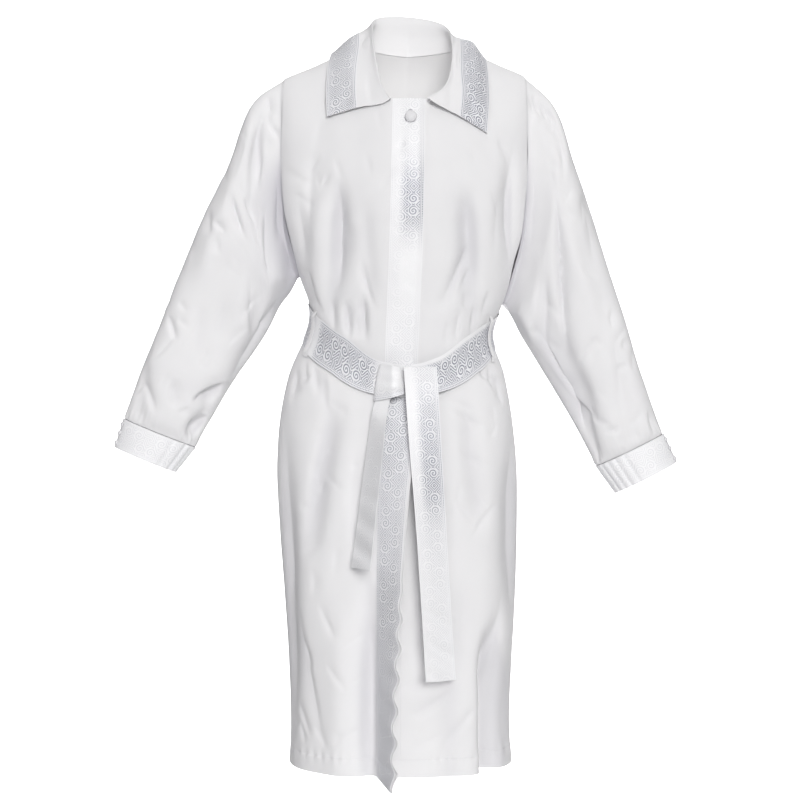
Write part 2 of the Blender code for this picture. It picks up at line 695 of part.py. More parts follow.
def sleeve_point(side, turn, t):
    """Place a point of a sleeve: turn 0 is its outer line, 0.25 the front, 0.5 the inner line."""
    table = SLEEVE_LEFT if side == "left" else SLEEVE_RIGHT
    turn, t = np.broadcast_arrays(np.asarray(turn, float), np.asarray(t, float))
    value = {name: along(table, name, SLEEVE_COLUMNS, t) for name in SLEEVE_COLUMNS[1:]}
    cosine = np.cos(turn * 2.0 * math.pi)
    sine = np.sin(turn * 2.0 * math.pi)
    x = (value["top_x"] + value["low_x"]) / 2.0 + (value["top_x"] - value["low_x"]) / 2.0 * cosine
    z = (value["top_z"] + value["low_z"]) / 2.0 + (value["top_z"] - value["low_z"]) / 2.0 * cosine
    y = value["middle"] - value["depth"] * sine
    return np.stack([x, y, z], axis=-1)


def sleeve_folds(side, turn, t):
    """Add up the folds of a sleeve at a place."""
    table = SLEEVE_FOLDS_LEFT if side == "left" else SLEEVE_FOLDS_RIGHT
    total = np.zeros(np.broadcast(turn, t).shape)
    for row in table:
        fold = dict(zip(SLEEVE_FOLD_COLUMNS, row))
        run = (t - fold["t_start"]) / (fold["t_end"] - fold["t_start"])
        fade = smooth_step(run / FOLD_FADE_IN) * smooth_step((1.0 - run) / FOLD_FADE_OUT)
        away = turn - (fold["turn_start"] + (fold["turn_end"] - fold["turn_start"]) * run)
        away = (away + 0.5) % 1.0 - 0.5
        total = total + fold["rise"] * fade * np.exp(-(away / fold["width"]) ** 2)
    return total


def sleeve_grid(side):
    """Work out the rings of a sleeve from the armhole seam to the cuff."""
    turn = np.arange(SLEEVE_TURNS) / SLEEVE_TURNS
    steps = np.linspace(0.0, 1.0, SLEEVE_RINGS + 1)
    grid_turn, grid_t = np.meshgrid(turn, steps)
    points = sleeve_point(side, grid_turn, grid_t)
    share = 1.0 - np.minimum(turn, 1.0 - turn) * 2.0
    seam = np.array([armhole_point(side, s, u < 0.5) for s, u in zip(share, turn)])
    fix = seam - points[0]
    points = points + fix * (1.0 - smooth_step(grid_t / SLEEVE_HEAD))[..., None]
    sign = -1.0 if side == "left" else 1.0
    normals = sleeve_normals(points, side)
    points = points + normals * sleeve_folds(side, grid_turn, grid_t)[..., None]
    normals = sleeve_normals(points, side)
    middle = (seam[0] + seam[SLEEVE_TURNS // 2]) / 2.0
    spokes = seam - middle
    spokes[:, 0] = 0.0
    normals[0] = spokes / np.linalg.norm(spokes, axis=-1, keepdims=True)
    points[0, :, 0] += sign * SEAM_GAP / 2.0
    return points, normals


def sleeve_normals(points, side):
    """Give a tube's outward normals, whichever way its rings run."""
    normals = grid_normals(points, loop=True)
    middle = points.mean(axis=1, keepdims=True)
    inward = np.sum(normals * (points - middle)) < 0.0
    return -normals if inward else normals


def cuff_grid(side):
    """Work out the rings of a cuff below the sleeve's last ring."""
    table = SLEEVE_LEFT if side == "left" else SLEEVE_RIGHT
    start = np.array(table[-1][1:])
    end = np.array(CUFF_LEFT_END if side == "left" else CUFF_RIGHT_END)
    turn = np.arange(SLEEVE_TURNS) / SLEEVE_TURNS
    rings = []
    for share in np.linspace(0.0, 1.0, CUFF_RINGS + 1):
        top_x, top_z, low_x, low_z, depth, middle = start + (end - start) * share
        cosine = np.cos(turn * 2.0 * math.pi)
        sine = np.sin(turn * 2.0 * math.pi)
        x = (top_x + low_x) / 2.0 + (top_x - low_x) / 2.0 * cosine
        z = (top_z + low_z) / 2.0 + (top_z - low_z) / 2.0 * cosine
        rings.append(np.stack([x, middle - depth * sine, z], axis=-1))
    points = np.array(rings)
    normals = sleeve_normals(points, side)
    along_arm = (end[[0, 1]] + end[[2, 3]] - start[[0, 1]] - start[[2, 3]]) / 2.0
    along_arm = along_arm / np.linalg.norm(along_arm)
    points[0, :, 0] += along_arm[0] * CUFF_SEAM_GAP
    points[0, :, 2] += along_arm[1] * CUFF_SEAM_GAP
    return points + normals * CUFF_EASE, normals


def clear_of_body(points, gap):
    """Lift points that lie inside the body, or closer than the gap, up or outward."""
    x, y, z = points[:, 0], points[:, 1], points[:, 2]
    front = y < 0.0
    skin = body_point(angle_of(x, z, front), z)
    short_y = np.abs(skin[:, 1]) + gap - np.abs(y)
    depth = np.where(front, body("front", z), body("back", z))
    plan = (1.0 - np.clip(np.abs(x) / half_width(x, z), 0.0, 0.99) ** SECTION_POWER)
    share = np.clip(np.abs(y) / (depth * plan ** (1.0 / SECTION_POWER)), 0.0, 1.0)
    reach = np.where(front, CROWN_FRONT, CROWN_BACK)
    power = np.where(front, CROWN_FRONT_POWER, CROWN_BACK_POWER)
    top = shoulder_height(x) - reach * (1.0 - (1.0 - share ** power) ** (1.0 / power))
    short_z = top + gap - z
    inside = (short_y > 0.0) & (short_z > 0.0)
    upward = inside & (short_z < short_y)
    outward = inside & ~upward
    moved = points.copy()
    moved[:, 2] += np.where(upward, short_z, 0.0)
    moved[:, 1] += np.where(outward, np.where(front, -short_y, short_y), 0.0)
    return moved


def collar_seam(turn):
    """Place the collar's seam on the neckline."""
    side = "left" if turn < 0 else "right"
    end = collar_end_share(side)
    front = abs(turn) > 0.5
    share = end + (1.0 - end) * (1.0 - abs(turn)) / 0.5 if front else abs(turn) / 0.5
    x, z = neckline(side, share, front)
    seam = body_point(angle_of(x, z, front), z)
    if front:
        seam[1] += (-LAP_APART if side == "left" else LAP_APART) * lap_share(x)
    seam[2] += COLLAR_SEAM_GAP
    return seam


def collar_section(turn):
    """Draw one section of the collar from its seam over the roll to the outer edge.

    The last rows lie at set distances from the edge, so that the ribbon shares them.
    """
    seam = collar_seam(turn)
    read = {}
    for name in COLLAR_COLUMNS[1:]:
        read[name] = float(along(COLLAR_STATIONS, name, COLLAR_COLUMNS, turn))
    roll = np.array([read["roll_x"], read["roll_y"], read["roll_z"]])
    edge = np.array([read["edge_x"], read["edge_y"], read["edge_z"]])
    out = edge - seam
    out[2] = 0.0
    out = out / np.linalg.norm(out)
    rise = np.array([0.0, 0.0, 1.0])
    ending = smooth_step((abs(turn) - ROLL_TAPER_TURN) / (1.0 - ROLL_TAPER_TURN))
    radius = ROLL_RADIUS * (1.0 - ROLL_END_TAPER * ending)
    before = roll - out * radius * ROLL_INNER - rise * radius
    after = roll + out * radius * ROLL_OUTER - rise * radius * ROLL_OUTER_DROP
    belly = (after + edge) / 2.0 + (out * BELLY_OUT + rise * BELLY_UP) * read["belly"]
    stops = np.array([seam, (seam + before) / 2.0, before, roll, after, belly, edge])
    places = np.concatenate([[0.0], np.cumsum(np.linalg.norm(np.diff(stops, axis=0), axis=1))])
    table = np.column_stack([places, stops])
    width = min(COLLAR_RIBBON_WIDTH, places[-1] - places[4] - 2.0 * ROLL_RADIUS)
    ribbon = places[-1] - width * np.linspace(1.0, 0.0, RIBBON_CELLS + 1)
    wanted = np.concatenate([places[:5], [(places[4] + ribbon[0]) / 2.0], ribbon])
    names = ("s", "x", "y", "z")
    section = np.stack([along(table, axis, names, wanted) for axis in ("x", "y", "z")], axis=-1)
    section[3:5] = clear_of_body(section[3:5], ROLL_CLEARANCE)
    section[5:] = clear_of_body(section[5:], COLLAR_CLEARANCE)
    return section


def collar_pieces():
    """Build the collar and the ribbon laid along its outer edge."""
    turns = np.linspace(-1.0, 1.0, COLLAR_STEPS + 1)
    sections = np.array([collar_section(float(turn)) for turn in turns])
    points = np.transpose(sections, (1, 0, 2))
    normals = grid_normals(points)
    wall("collar", points, points - normals * CLOTH_WALL, WHITE_CLOTH)
    ribbon = slice(-RIBBON_CELLS - 1, None)
    ribbon_on("collar_ribbon", points[ribbon], normals[ribbon], COLLAR_RIBBON_GAP)


def ribbon_on(name, points, normals, gap=LAY_GAP):
    """Lay a ribbon on a grid of points, moved out."""
    base = points + normals * gap
    wall(name, base + normals * RIBBON_WALL, base, RIBBON_CLOTH)


def belt_piece():
    """Run the belt round the waist, from beside the knot round the back to the knot."""
    start = float(angle_of(BELT_START_X, KNOT_Z, True))
    end = 2.0 * math.pi + float(angle_of(BELT_END_X, KNOT_Z, True))
    theta = np.linspace(start, end, BELT_STEPS + 1)
    theta = np.where(theta > math.pi, theta - 2.0 * math.pi, theta)
    middle = body_point(theta, belt_height(theta))
    run = np.gradient(middle, axis=0)
    slant = np.linalg.norm(run, axis=1) / np.hypot(run[:, 0], run[:, 1])
    across = np.linspace(-0.5, 0.5, RIBBON_CELLS + 1)[:, None] * BELT_WIDTH
    z = belt_height(theta) + across * slant
    lift = BELT_LIFT + BELT_LAP_LIFT * lap_share(middle[:, 0])
    inner = body_point(theta, z, lift)
    outer = body_point(theta, z, lift + RIBBON_WALL)
    wall("belt", outer, inner, RIBBON_CLOTH)


def loop_piece(name, degrees):
    """Bridge the belt with one belt loop at a side."""
    theta = math.radians(degrees) + np.array([-0.5, 0.5]) * LOOP_WIDTH / LOOP_RADIUS
    share = np.array(LOOP_SHARES)[:, None]
    z = belt_height(math.radians(degrees)) + share * LOOP_HEIGHT / 2.0
    lift = np.where(np.abs(share) < 1.0, LOOP_LIFT, LOOP_FOOT)
    inner = body_point(theta + 0.0 * z, z + 0.0 * theta, lift)
    outer = body_point(theta + 0.0 * z, z + 0.0 * theta, lift + RIBBON_WALL)
    wall(name, outer, inner, WHITE_CLOTH)


def strip(name, table, rows):
    """Hang a ribbon along the rows of a table."""
    places = np.linspace(0.0, 1.0, len(table))
    numbered = [(place,) + row for place, row in zip(places, table)]
    names = ("s",) + TAIL_COLUMNS
    order = np.linspace(0.0, 1.0, rows + 1)
    read = {key: along(numbered, key, names, order) for key in TAIL_COLUMNS}
    share = np.linspace(-1.0, 1.0, TAIL_CELLS + 1)
    x = read["x"][:, None] + read["half"][:, None] * share
    y = read["y"][:, None] + read["turn"][:, None] * share
    z = read["z"][:, None] + 0.0 * share
    points = np.stack([x, y, z], axis=-1)
    normals = grid_normals(points)
    normals = normals * np.where(np.sum(normals[..., 1]) > 0.0, -1.0, 1.0)
    wall(name, points, points - normals * RIBBON_WALL, RIBBON_CLOTH)


def knot_piece():
    """Wrap the knot's turn of ribbon round the belt's crossing."""
    turn = np.radians(np.linspace(KNOT_OPEN_START, KNOT_OPEN_END, KNOT_STEPS + 1))
    share = np.linspace(-1.0, 1.0, KNOT_ROWS + 1)[:, None]
    pinch = 1.0 - KNOT_PINCH * share ** 2
    x = KNOT_X + KNOT_HALF_WIDTH * np.cos(turn) * pinch
    y = KNOT_Y - KNOT_HALF_DEPTH * np.sin(turn) * pinch
    z = KNOT_Z + KNOT_HALF_HEIGHT * share + KNOT_TILT * (x - KNOT_X)
    points = np.stack([x, y, z], axis=-1)
    normals = grid_normals(points)
    middle = np.array([KNOT_X, KNOT_Y, KNOT_Z])
    if np.sum(normals * (points - middle)) < 0.0:
        normals = -normals
    wall("belt_knot", points, points - normals * RIBBON_WALL, RIBBON_CLOTH)


def button(name, place, outward, radius, height):
    """Set a covered dome button on a surface, with its flat side against it."""
    outward = outward / np.linalg.norm(outward)
    right = np.cross([0.0, 0.0, 1.0], outward)
    right = right / np.linalg.norm(right)
    up = np.cross(outward, right)
    base = place + outward * LAY_GAP
    points = [base]
    for share, rise in BUTTON_RINGS:
        for step in range(BUTTON_SIDES):
            angle = 2.0 * math.pi * step / BUTTON_SIDES
            spoke = right * math.cos(angle) + up * math.sin(angle)
            points.append(base + spoke * radius * share + outward * height * rise)
    points.append(base + outward * height)
    faces = []
    for step in range(BUTTON_SIDES):
        after = (step + 1) % BUTTON_SIDES
        faces.append((0, 1 + after, 1 + step))
        for ring in range(len(BUTTON_RINGS) - 1):
            low = 1 + ring * BUTTON_SIDES
            high = low + BUTTON_SIDES
            faces.append((low + step, low + after, high + after))
            faces.append((low + step, high + after, high + step))
        last = 1 + (len(BUTTON_RINGS) - 1) * BUTTON_SIDES
        faces.append((last + step, last + after, len(points) - 1))
    solid(name, np.array(points), faces, BUTTON_CLOTH)


def neck_button():
    """Set the button at the top of the placket ribbon."""
    x, z = NECK_BUTTON_PLACE
    spots = [(x, z), (x + NECK_BUTTON_RADIUS, z), (x, z + NECK_BUTTON_RADIUS)]
    place, beside, above = (body_point(angle_of(a, b, True), b) for a, b in spots)
    outward = np.cross(beside - place, above - place)
    outward = outward / np.linalg.norm(outward)
    place = place + np.array([0.0, -LAP_APART, 0.0]) + outward * (LAY_GAP + RIBBON_WALL + BUTTON_SEAT)
    button("button_neck", place, outward, NECK_BUTTON_RADIUS, NECK_BUTTON_HEIGHT)


def cuff_buttons(side, name, points, normals):
    """Set the three small buttons of one cuff near its outer line."""
    column = CUFF_BUTTON_TURN * SLEEVE_TURNS
    first = int(column)
    part = column - first
    for number, share in enumerate(CUFF_BUTTON_PLACES, start=1):
        row = share * CUFF_RINGS
        low = min(int(row), CUFF_RINGS - 1)
        climb = row - low
        place = np.zeros(3)
        outward = np.zeros(3)
        for ring, weight in ((low, 1.0 - climb), (low + 1, climb)):
            for step, other in ((first, 1.0 - part), (first + 1, part)):
                place += points[ring, step] * weight * other
                outward += normals[ring, step] * weight * other
        outward = outward / np.linalg.norm(outward)
        seat = place + outward * CUFF_BUTTON_SEAT
        label = "cuff_button_%s_%d" % (name, number)
        button(label, seat, outward, CUFF_BUTTON_RADIUS, CUFF_BUTTON_HEIGHT)


def main():
    """Clear the scene and build every piece of the kittel."""
    for piece in list(bpy.data.objects):
        bpy.data.objects.remove(piece, do_unlink=True)
    over_fractions = np.linspace(0.0, 1.0, OVER_COLUMNS + 1)
    points, normals = front_piece("front_over", "left", over_fractions)
    placket = slice(0, ROWS_LOW + ROWS_CHEST + 1)
    ribbon_on("placket_ribbon", points[placket, :3], normals[placket, :3])
    front_piece("front_under", "right", UNDER_FRACTIONS)
    points, normals = back_piece()
    facing_piece(points, normals)
    collar_pieces()
    for side, name in (("left", "r"), ("right", "l")):
        points, normals = sleeve_grid(side)
        wall("sleeve_" + name, points, points - normals * CLOTH_WALL, WHITE_CLOTH, loop=True)
        points, normals = cuff_grid(side)
        wall("cuff_" + name, points, points - normals * CLOTH_WALL, RIBBON_CLOTH, loop=True)
        cuff_buttons(side, name, points, normals)
    belt_piece()
    loop_piece("belt_loop_r", LOOP_ANGLES["right"])
    loop_piece("belt_loop_l", LOOP_ANGLES["left"])
    knot_piece()
    strip("belt_tail_long", LONG_TAIL, LONG_TAIL_ROWS)
    strip("belt_tail_short", SHORT_TAIL, SHORT_TAIL_ROWS)
    neck_button()


main()
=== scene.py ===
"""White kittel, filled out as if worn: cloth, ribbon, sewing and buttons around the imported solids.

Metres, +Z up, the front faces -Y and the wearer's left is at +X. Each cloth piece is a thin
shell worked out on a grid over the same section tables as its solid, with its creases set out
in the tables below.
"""
import math

import bpy
import numpy as np
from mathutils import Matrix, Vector


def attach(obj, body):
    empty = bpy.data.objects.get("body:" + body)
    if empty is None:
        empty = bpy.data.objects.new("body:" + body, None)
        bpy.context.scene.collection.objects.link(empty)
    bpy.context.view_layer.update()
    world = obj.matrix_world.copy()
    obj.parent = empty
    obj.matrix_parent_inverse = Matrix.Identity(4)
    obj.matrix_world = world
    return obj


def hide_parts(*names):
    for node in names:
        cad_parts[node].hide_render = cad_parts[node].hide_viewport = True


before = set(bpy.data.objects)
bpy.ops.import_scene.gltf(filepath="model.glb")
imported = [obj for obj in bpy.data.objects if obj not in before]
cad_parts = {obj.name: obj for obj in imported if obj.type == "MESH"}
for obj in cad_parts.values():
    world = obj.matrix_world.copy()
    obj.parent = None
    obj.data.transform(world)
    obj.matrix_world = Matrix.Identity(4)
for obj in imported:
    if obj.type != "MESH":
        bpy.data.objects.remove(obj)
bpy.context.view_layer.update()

bl_info = {
    "name": "Kittel",
    "version": (1, 0, 0),
    "blender": (4, 5, 0),
    "location": "3D View > Sidebar > Kittel",
    "description": "A white kittel with ribbon collar, placket, cuffs and tied belt",
    "category": "Add Mesh",
}

# A full turn, millimetres in a metre, the least length that counts, and the way each side lies
ROUND = 2.0 * math.pi
MILLIMETRES = 1000.0
NO_LENGTH = 1e-12
SIGN = {"left": -1.0, "right": 1.0}


def in_metres(rows, first=0):
    """Turn rows of millimetres into metres, from their first column of that kind on."""
    return tuple(row[:first] + tuple(value / MILLIMETRES for value in row[first:]) for row in rows)


# How far one layer lies off the next
LAY_GAP = 0.0002
SEAM_GAP = 0.0001

# Body sections: height, half width at -X, half width at +X, depth in front, depth behind
BODY_SECTIONS = in_metres((
    (-1130, 189, 166, 124, 116), (-1060, 187, 162, 123, 116), (-960, 190, 165, 121, 116),
    (-850, 197, 171, 119, 115), (-740, 205, 174, 117, 114), (-640, 209, 173, 114, 113),
    (-570, 204, 166, 110, 110), (-500, 190, 154, 104, 104), (-440, 169, 141, 101, 98),
    (-387, 162, 153.6, 104, 101), (-344, 173.6, 165, 108, 106), (-250, 196, 184, 116, 112),
    (-160, 204, 196, 117, 112), (-80, 208, 200, 113, 110), (80, 212, 204, 110, 108),
))
SECTION_POWER = 2.3

# Shoulder line, and how far below it each face reaches its full depth
SHOULDER_PEAK = 0.064
SHOULDER_SLOPE = 0.48
CROWN_FRONT = 0.30
CROWN_FRONT_POWER = 1.7
CROWN_BACK = 0.22
CROWN_BACK_POWER = 2.0

# Hem, underarm and shoulder tip of each side
HEM_HEIGHT = -1.115
UNDERARM = {"left": (-0.1736, -0.344), "right": (0.1536, -0.387)}
TIP_X = {"left": -0.192, "right": 0.182}
ARMHOLE_EASE = 0.6

# Neckline
NECK_SIDE_X = {"left": -0.074, "right": 0.084}
NECK_FRONT_Z = -0.087
NECK_BACK_Z = 0.021
COLLAR_END_X = {"left": -0.0275, "right": 0.0300}
NECK_CENTRE_X = (NECK_SIDE_X["left"] + NECK_SIDE_X["right"]) / 2.0

# Front lap: the wearer's right front lies on top. Its band: height, x of its free edge, x of its
# inner edge, and how far the free edge stands forward
LAP_APART = 0.003
LAP_FULL = 0.030
LAP_FADE = 0.050
BAND_ROWS = in_metres((
    (-1130, -25, -48, 46), (-1060, -25, -48, 44), (-913, -18, -49, 38), (-790, -11, -48, 31),
    (-684, -3, -46, 22), (-600, 6, -42, 8), (-545, 10, -39, 1), (-500, 13, -37, 0), (-400, 18, -33, 0),
    (-300, 22, -29, 0), (-83, 26, -24, 0),
))
BAND_CURL = 1.15
BAND_DIP = 0.008
BAND_DIP_REACH = 0.20
EDGE_PRESS = 0.0030
EDGE_PRESS_FROM = 0.82
EDGE_PRESS_TOP = -0.56
EDGE_PRESS_FADE = 0.08
UNDER_LAP = 0.004

# Belt line: degrees from the front, height
BELT_ROWS = in_metres((
    (-180, -402), (-120, -404), (-90, -412), (-60, -440), (-35, -470), (-12, -506), (0, -512), (15, -502),
    (40, -470), (62, -446), (90, -428), (120, -410), (180, -402),
), first=1)
BELT_LIFT = 0.0040
BELT_LAP_LIFT = 0.0042
BELT_SIDE = 0.3
BELT_START_X = 0.004
BELT_END_X = -0.006
CINCH_DEPTH = 0.007
CINCH_REACH = 0.042

# Large folds of the body, by face: x and height of both ends, half width, height outward
FOLD_FADE_IN = 0.35
FOLD_FADE_OUT = 0.25
BODY_FOLDS = {
    "front": in_metres((
        (-104, -175, -125, -440, 13, -7), (-140, -200, -140, -430, 14, 5), (-69, -220, -55, -400, 12, -4),
        (90, -190, 98, -440, 15, -7), (92, -300, 46, -410, 12, -4), (-104, -500, -155, -800, 16, -6),
        (84, -500, 112, -760, 16, -6), (-58, -760, -60, -1200, 14, -9), (-105, -800, -108, -1200, 20, 5),
        (60, -780, 66, -1200, 20, -6), (126, -880, 130, -1180, 13, -40), (-188, 60, -180, -340, 34, 10),
        (178, 60, 162, -380, 34, 8),
    )),
    "back": in_metres((
        (-90, -430, -100, -760, 18, -7), (85, -430, 95, -740, 18, -7), (-10, -430, 10, -700, 18, 6),
        (-110, -180, -75, -400, 16, -7), (110, -200, 70, -400, 16, -7), (-70, -800, -75, -1200, 22, -12),
        (50, -780, 60, -1200, 22, -13), (-10, -820, -10, -1200, 22, 6),
    )),
}

# Sleeves: share of the way down, outer line x and z, inner line x and z, half depth, middle y
SLEEVES = {
    "left": in_metres((
        (0, -192, -28, -173.6, -344, 58, 0), (0.1, -240, -63, -187, -367, 60, 0),
        (0.27, -288, -172, -205, -391, 62, 0), (0.42, -328, -253, -224, -429, 58, -2),
        (0.57, -365, -343, -246, -464, 53, -4), (0.72, -400, -434, -272, -501, 49, -7),
        (0.86, -427, -500, -300, -546, 46, -10), (0.96, -446, -556, -330, -600, 36, -13),
        (1, -450, -570, -338, -615, 26, -14),
    ), first=1),
    "right": in_metres((
        (0, 182, -23.5, 153.6, -387, 58, 0), (0.1, 226, -66, 166.4, -407, 60, 0),
        (0.27, 262, -157, 181, -437, 62, 0), (0.42, 291, -240, 200, -469, 58, -2),
        (0.57, 318, -330, 221, -504, 53, -4), (0.72, 344, -410, 246, -546, 49, -7),
        (0.86, 371, -501, 272, -592, 46, -10), (0.96, 399, -580, 294, -635, 36, -13),
        (1, 404, -594, 299, -645, 26, -14),
    ), first=1),
}

# Cuff ends: outer line x and z, inner line x and z, half depth, middle y
CUFF_ENDS = {
    "left": (-0.464, -0.616, -0.370, -0.655, 0.028, -0.014),
    "right": (0.425, -0.640, 0.330, -0.688, 0.028, -0.014),
}
CUFF_EASE = 0.0015
CUFF_SEAM_GAP = 0.001
SLEEVE_HEAD = 0.34

# How far a sleeve's section is squared between its ends, and its hollow beside the armhole
SLEEVE_SQUARE = 0.7
SLEEVE_EASE = 0.25
HOLLOWS = {"left": -0.014, "right": -0.008}
HOLLOW_LEAST = -0.0020
HOLLOW_REACH = 0.026
HOLLOW_START = 0.0045
HOLLOW_SPAN = 0.25
HOLLOW_EASE = 0.10

# Large folds of a sleeve: turn and place of both ends, half width in turns, height outward
SLEEVE_FOLDS = {
    "left": (
        (0.16, 0.04, 0.28, 0.26, 0.03, -0.005), (0.12, 0.02, 0.2, 0.6, 0.04, 0.004),
        (0.3, 0.2, 0.42, 0.52, 0.04, -0.006), (0.42, 0.05, 0.33, 0.34, 0.034, 0.005),
        (0.36, 0.74, 0.44, 1.0, 0.045, -0.006), (0.08, 0.8, 0.16, 1.0, 0.045, -0.005),
        (0.72, 0.1, 0.64, 0.6, 0.045, -0.006), (0.86, 0.05, 0.78, 0.5, 0.04, -0.005),
        (0.62, 0.66, 0.7, 1.0, 0.045, -0.005), (0.88, 0.74, 0.84, 1.0, 0.04, -0.005),
    ),
    "right": (
        (0.22, 0.05, 0.22, 0.72, 0.034, 0.006), (0.31, 0.12, 0.34, 0.92, 0.04, -0.008),
        (0.1, 0.02, 0.14, 0.26, 0.03, -0.005), (0.43, 0.04, 0.4, 0.4, 0.036, 0.005),
        (0.2, 0.78, 0.24, 1.0, 0.036, -0.006), (0.4, 0.74, 0.42, 1.0, 0.036, -0.006),
        (0.72, 0.1, 0.66, 0.6, 0.045, -0.006), (0.86, 0.05, 0.8, 0.5, 0.04, -0.005),
        (0.62, 0.66, 0.7, 1.0, 0.045, -0.005), (0.88, 0.74, 0.84, 1.0, 0.04, -0.005),
    ),
}

# Collar stations from the end at -X round the back: turn, roll line, outer edge, bulge between
COLLAR_STATIONS = in_metres((
    (-1, -27.5, -94, -77, -126, -72, -101, 1), (-0.86, -41, -86, -56, -128, -61, -66, 6),
    (-0.68, -52, -56, -4, -126, -31, -12, 6), (-0.5, -58, 0, 52, -119, 10, 17, 6),
    (-0.3, -53, 44, 80, -98, 70, 16, 6), (0, 6, 62, 87, 4, 100, 16, 6), (0.3, 60, 40, 68, 96, 74, 10, 8),
    (0.5, 71, -4, 36, 119, 14, 10, 14), (0.68, 69, -48, -16, 125, -30, -16, 16),
    (0.86, 55, -82, -57, 126, -64, -78, 11), (1, 30, -94, -75.5, 122, -80, -128, 1),
), first=1)
ROLL_RADIUS = 0.0045
ROLL_CLEARANCE = 0.0032
ROLL_INNER = 0.6
ROLL_OUTER = 0.9
ROLL_OUTER_DROP = 0.8
ROLL_END_TAPER = 0.6
ROLL_TAPER_TURN = 0.75
BELLY_OUT = 0.55
BELLY_UP = 0.83
COLLAR_CLEARANCE = 0.0036
CLEAR_EASE = 0.012
CLEAR_ROUNDS = 8
NEARLY_FULL = 0.99
COLLAR_SEAM_GAP = 0.0012

# Belt ends: height, middle x, half width along x, y, y turn from edge to edge
LONG_TAIL = in_metres((
    (-508, 18.2, 25, -108.4, 0), (-497, 18, 25, -107.8, 0), (-490, 18, 25, -114.5, 0),
    (-500, 18.5, 25, -121.5, 0), (-530, 20.5, 25, -130, 0), (-600, 25, 24.5, -134.5, 4),
    (-742, 35, 23, -139, 10), (-887, 44, 22.5, -142, 12), (-964, 49, 23, -143, 10),
))
SHORT_TAIL = in_metres((
    (-539, -39, 11, -118.5, -6), (-560, -43.5, 11.5, -128, -7), (-590, -48, 12, -136, -19),
    (-650, -55, 13, -141, -18.5), (-720, -63, 13.5, -143, -18.5), (-795, -72, 14.5, -144, -18),
))

# Knot: a turn of ribbon round the belt's crossing
KNOT_PLACE = (-0.0235, -0.1186, -0.5130)
KNOT_HALF_WIDTH = 0.0158
KNOT_HALF_DEPTH = 0.0095
KNOT_HALF_HEIGHT = 0.0240
KNOT_PINCH = 0.06
KNOT_LEFT_SPREAD = 0.65
KNOT_SPREAD = 0.20
KNOT_TAPER = 0.30
KNOT_OPEN_START = -40.0
KNOT_OPEN_END = 250.0

# Belt loops
LOOP_WIDTH = 0.008
LOOP_HEIGHT = 0.071
LOOP_RADIUS = 0.110
LOOP_LIFT = 0.0070
LOOP_FOOT = 0.0017
LOOP_ANGLES = (("r", -62.0), ("l", 62.0))

# Buttons
NECK_BUTTON_HEIGHT = 0.0065
NECK_BUTTON_PLACE = (0.0035, -0.107)
CUFF_BUTTON_HEIGHT = 0.0030
CUFF_BUTTON_TURN = 0.045
CUFF_BUTTON_PLACES = (0.20, 0.50, 0.84)

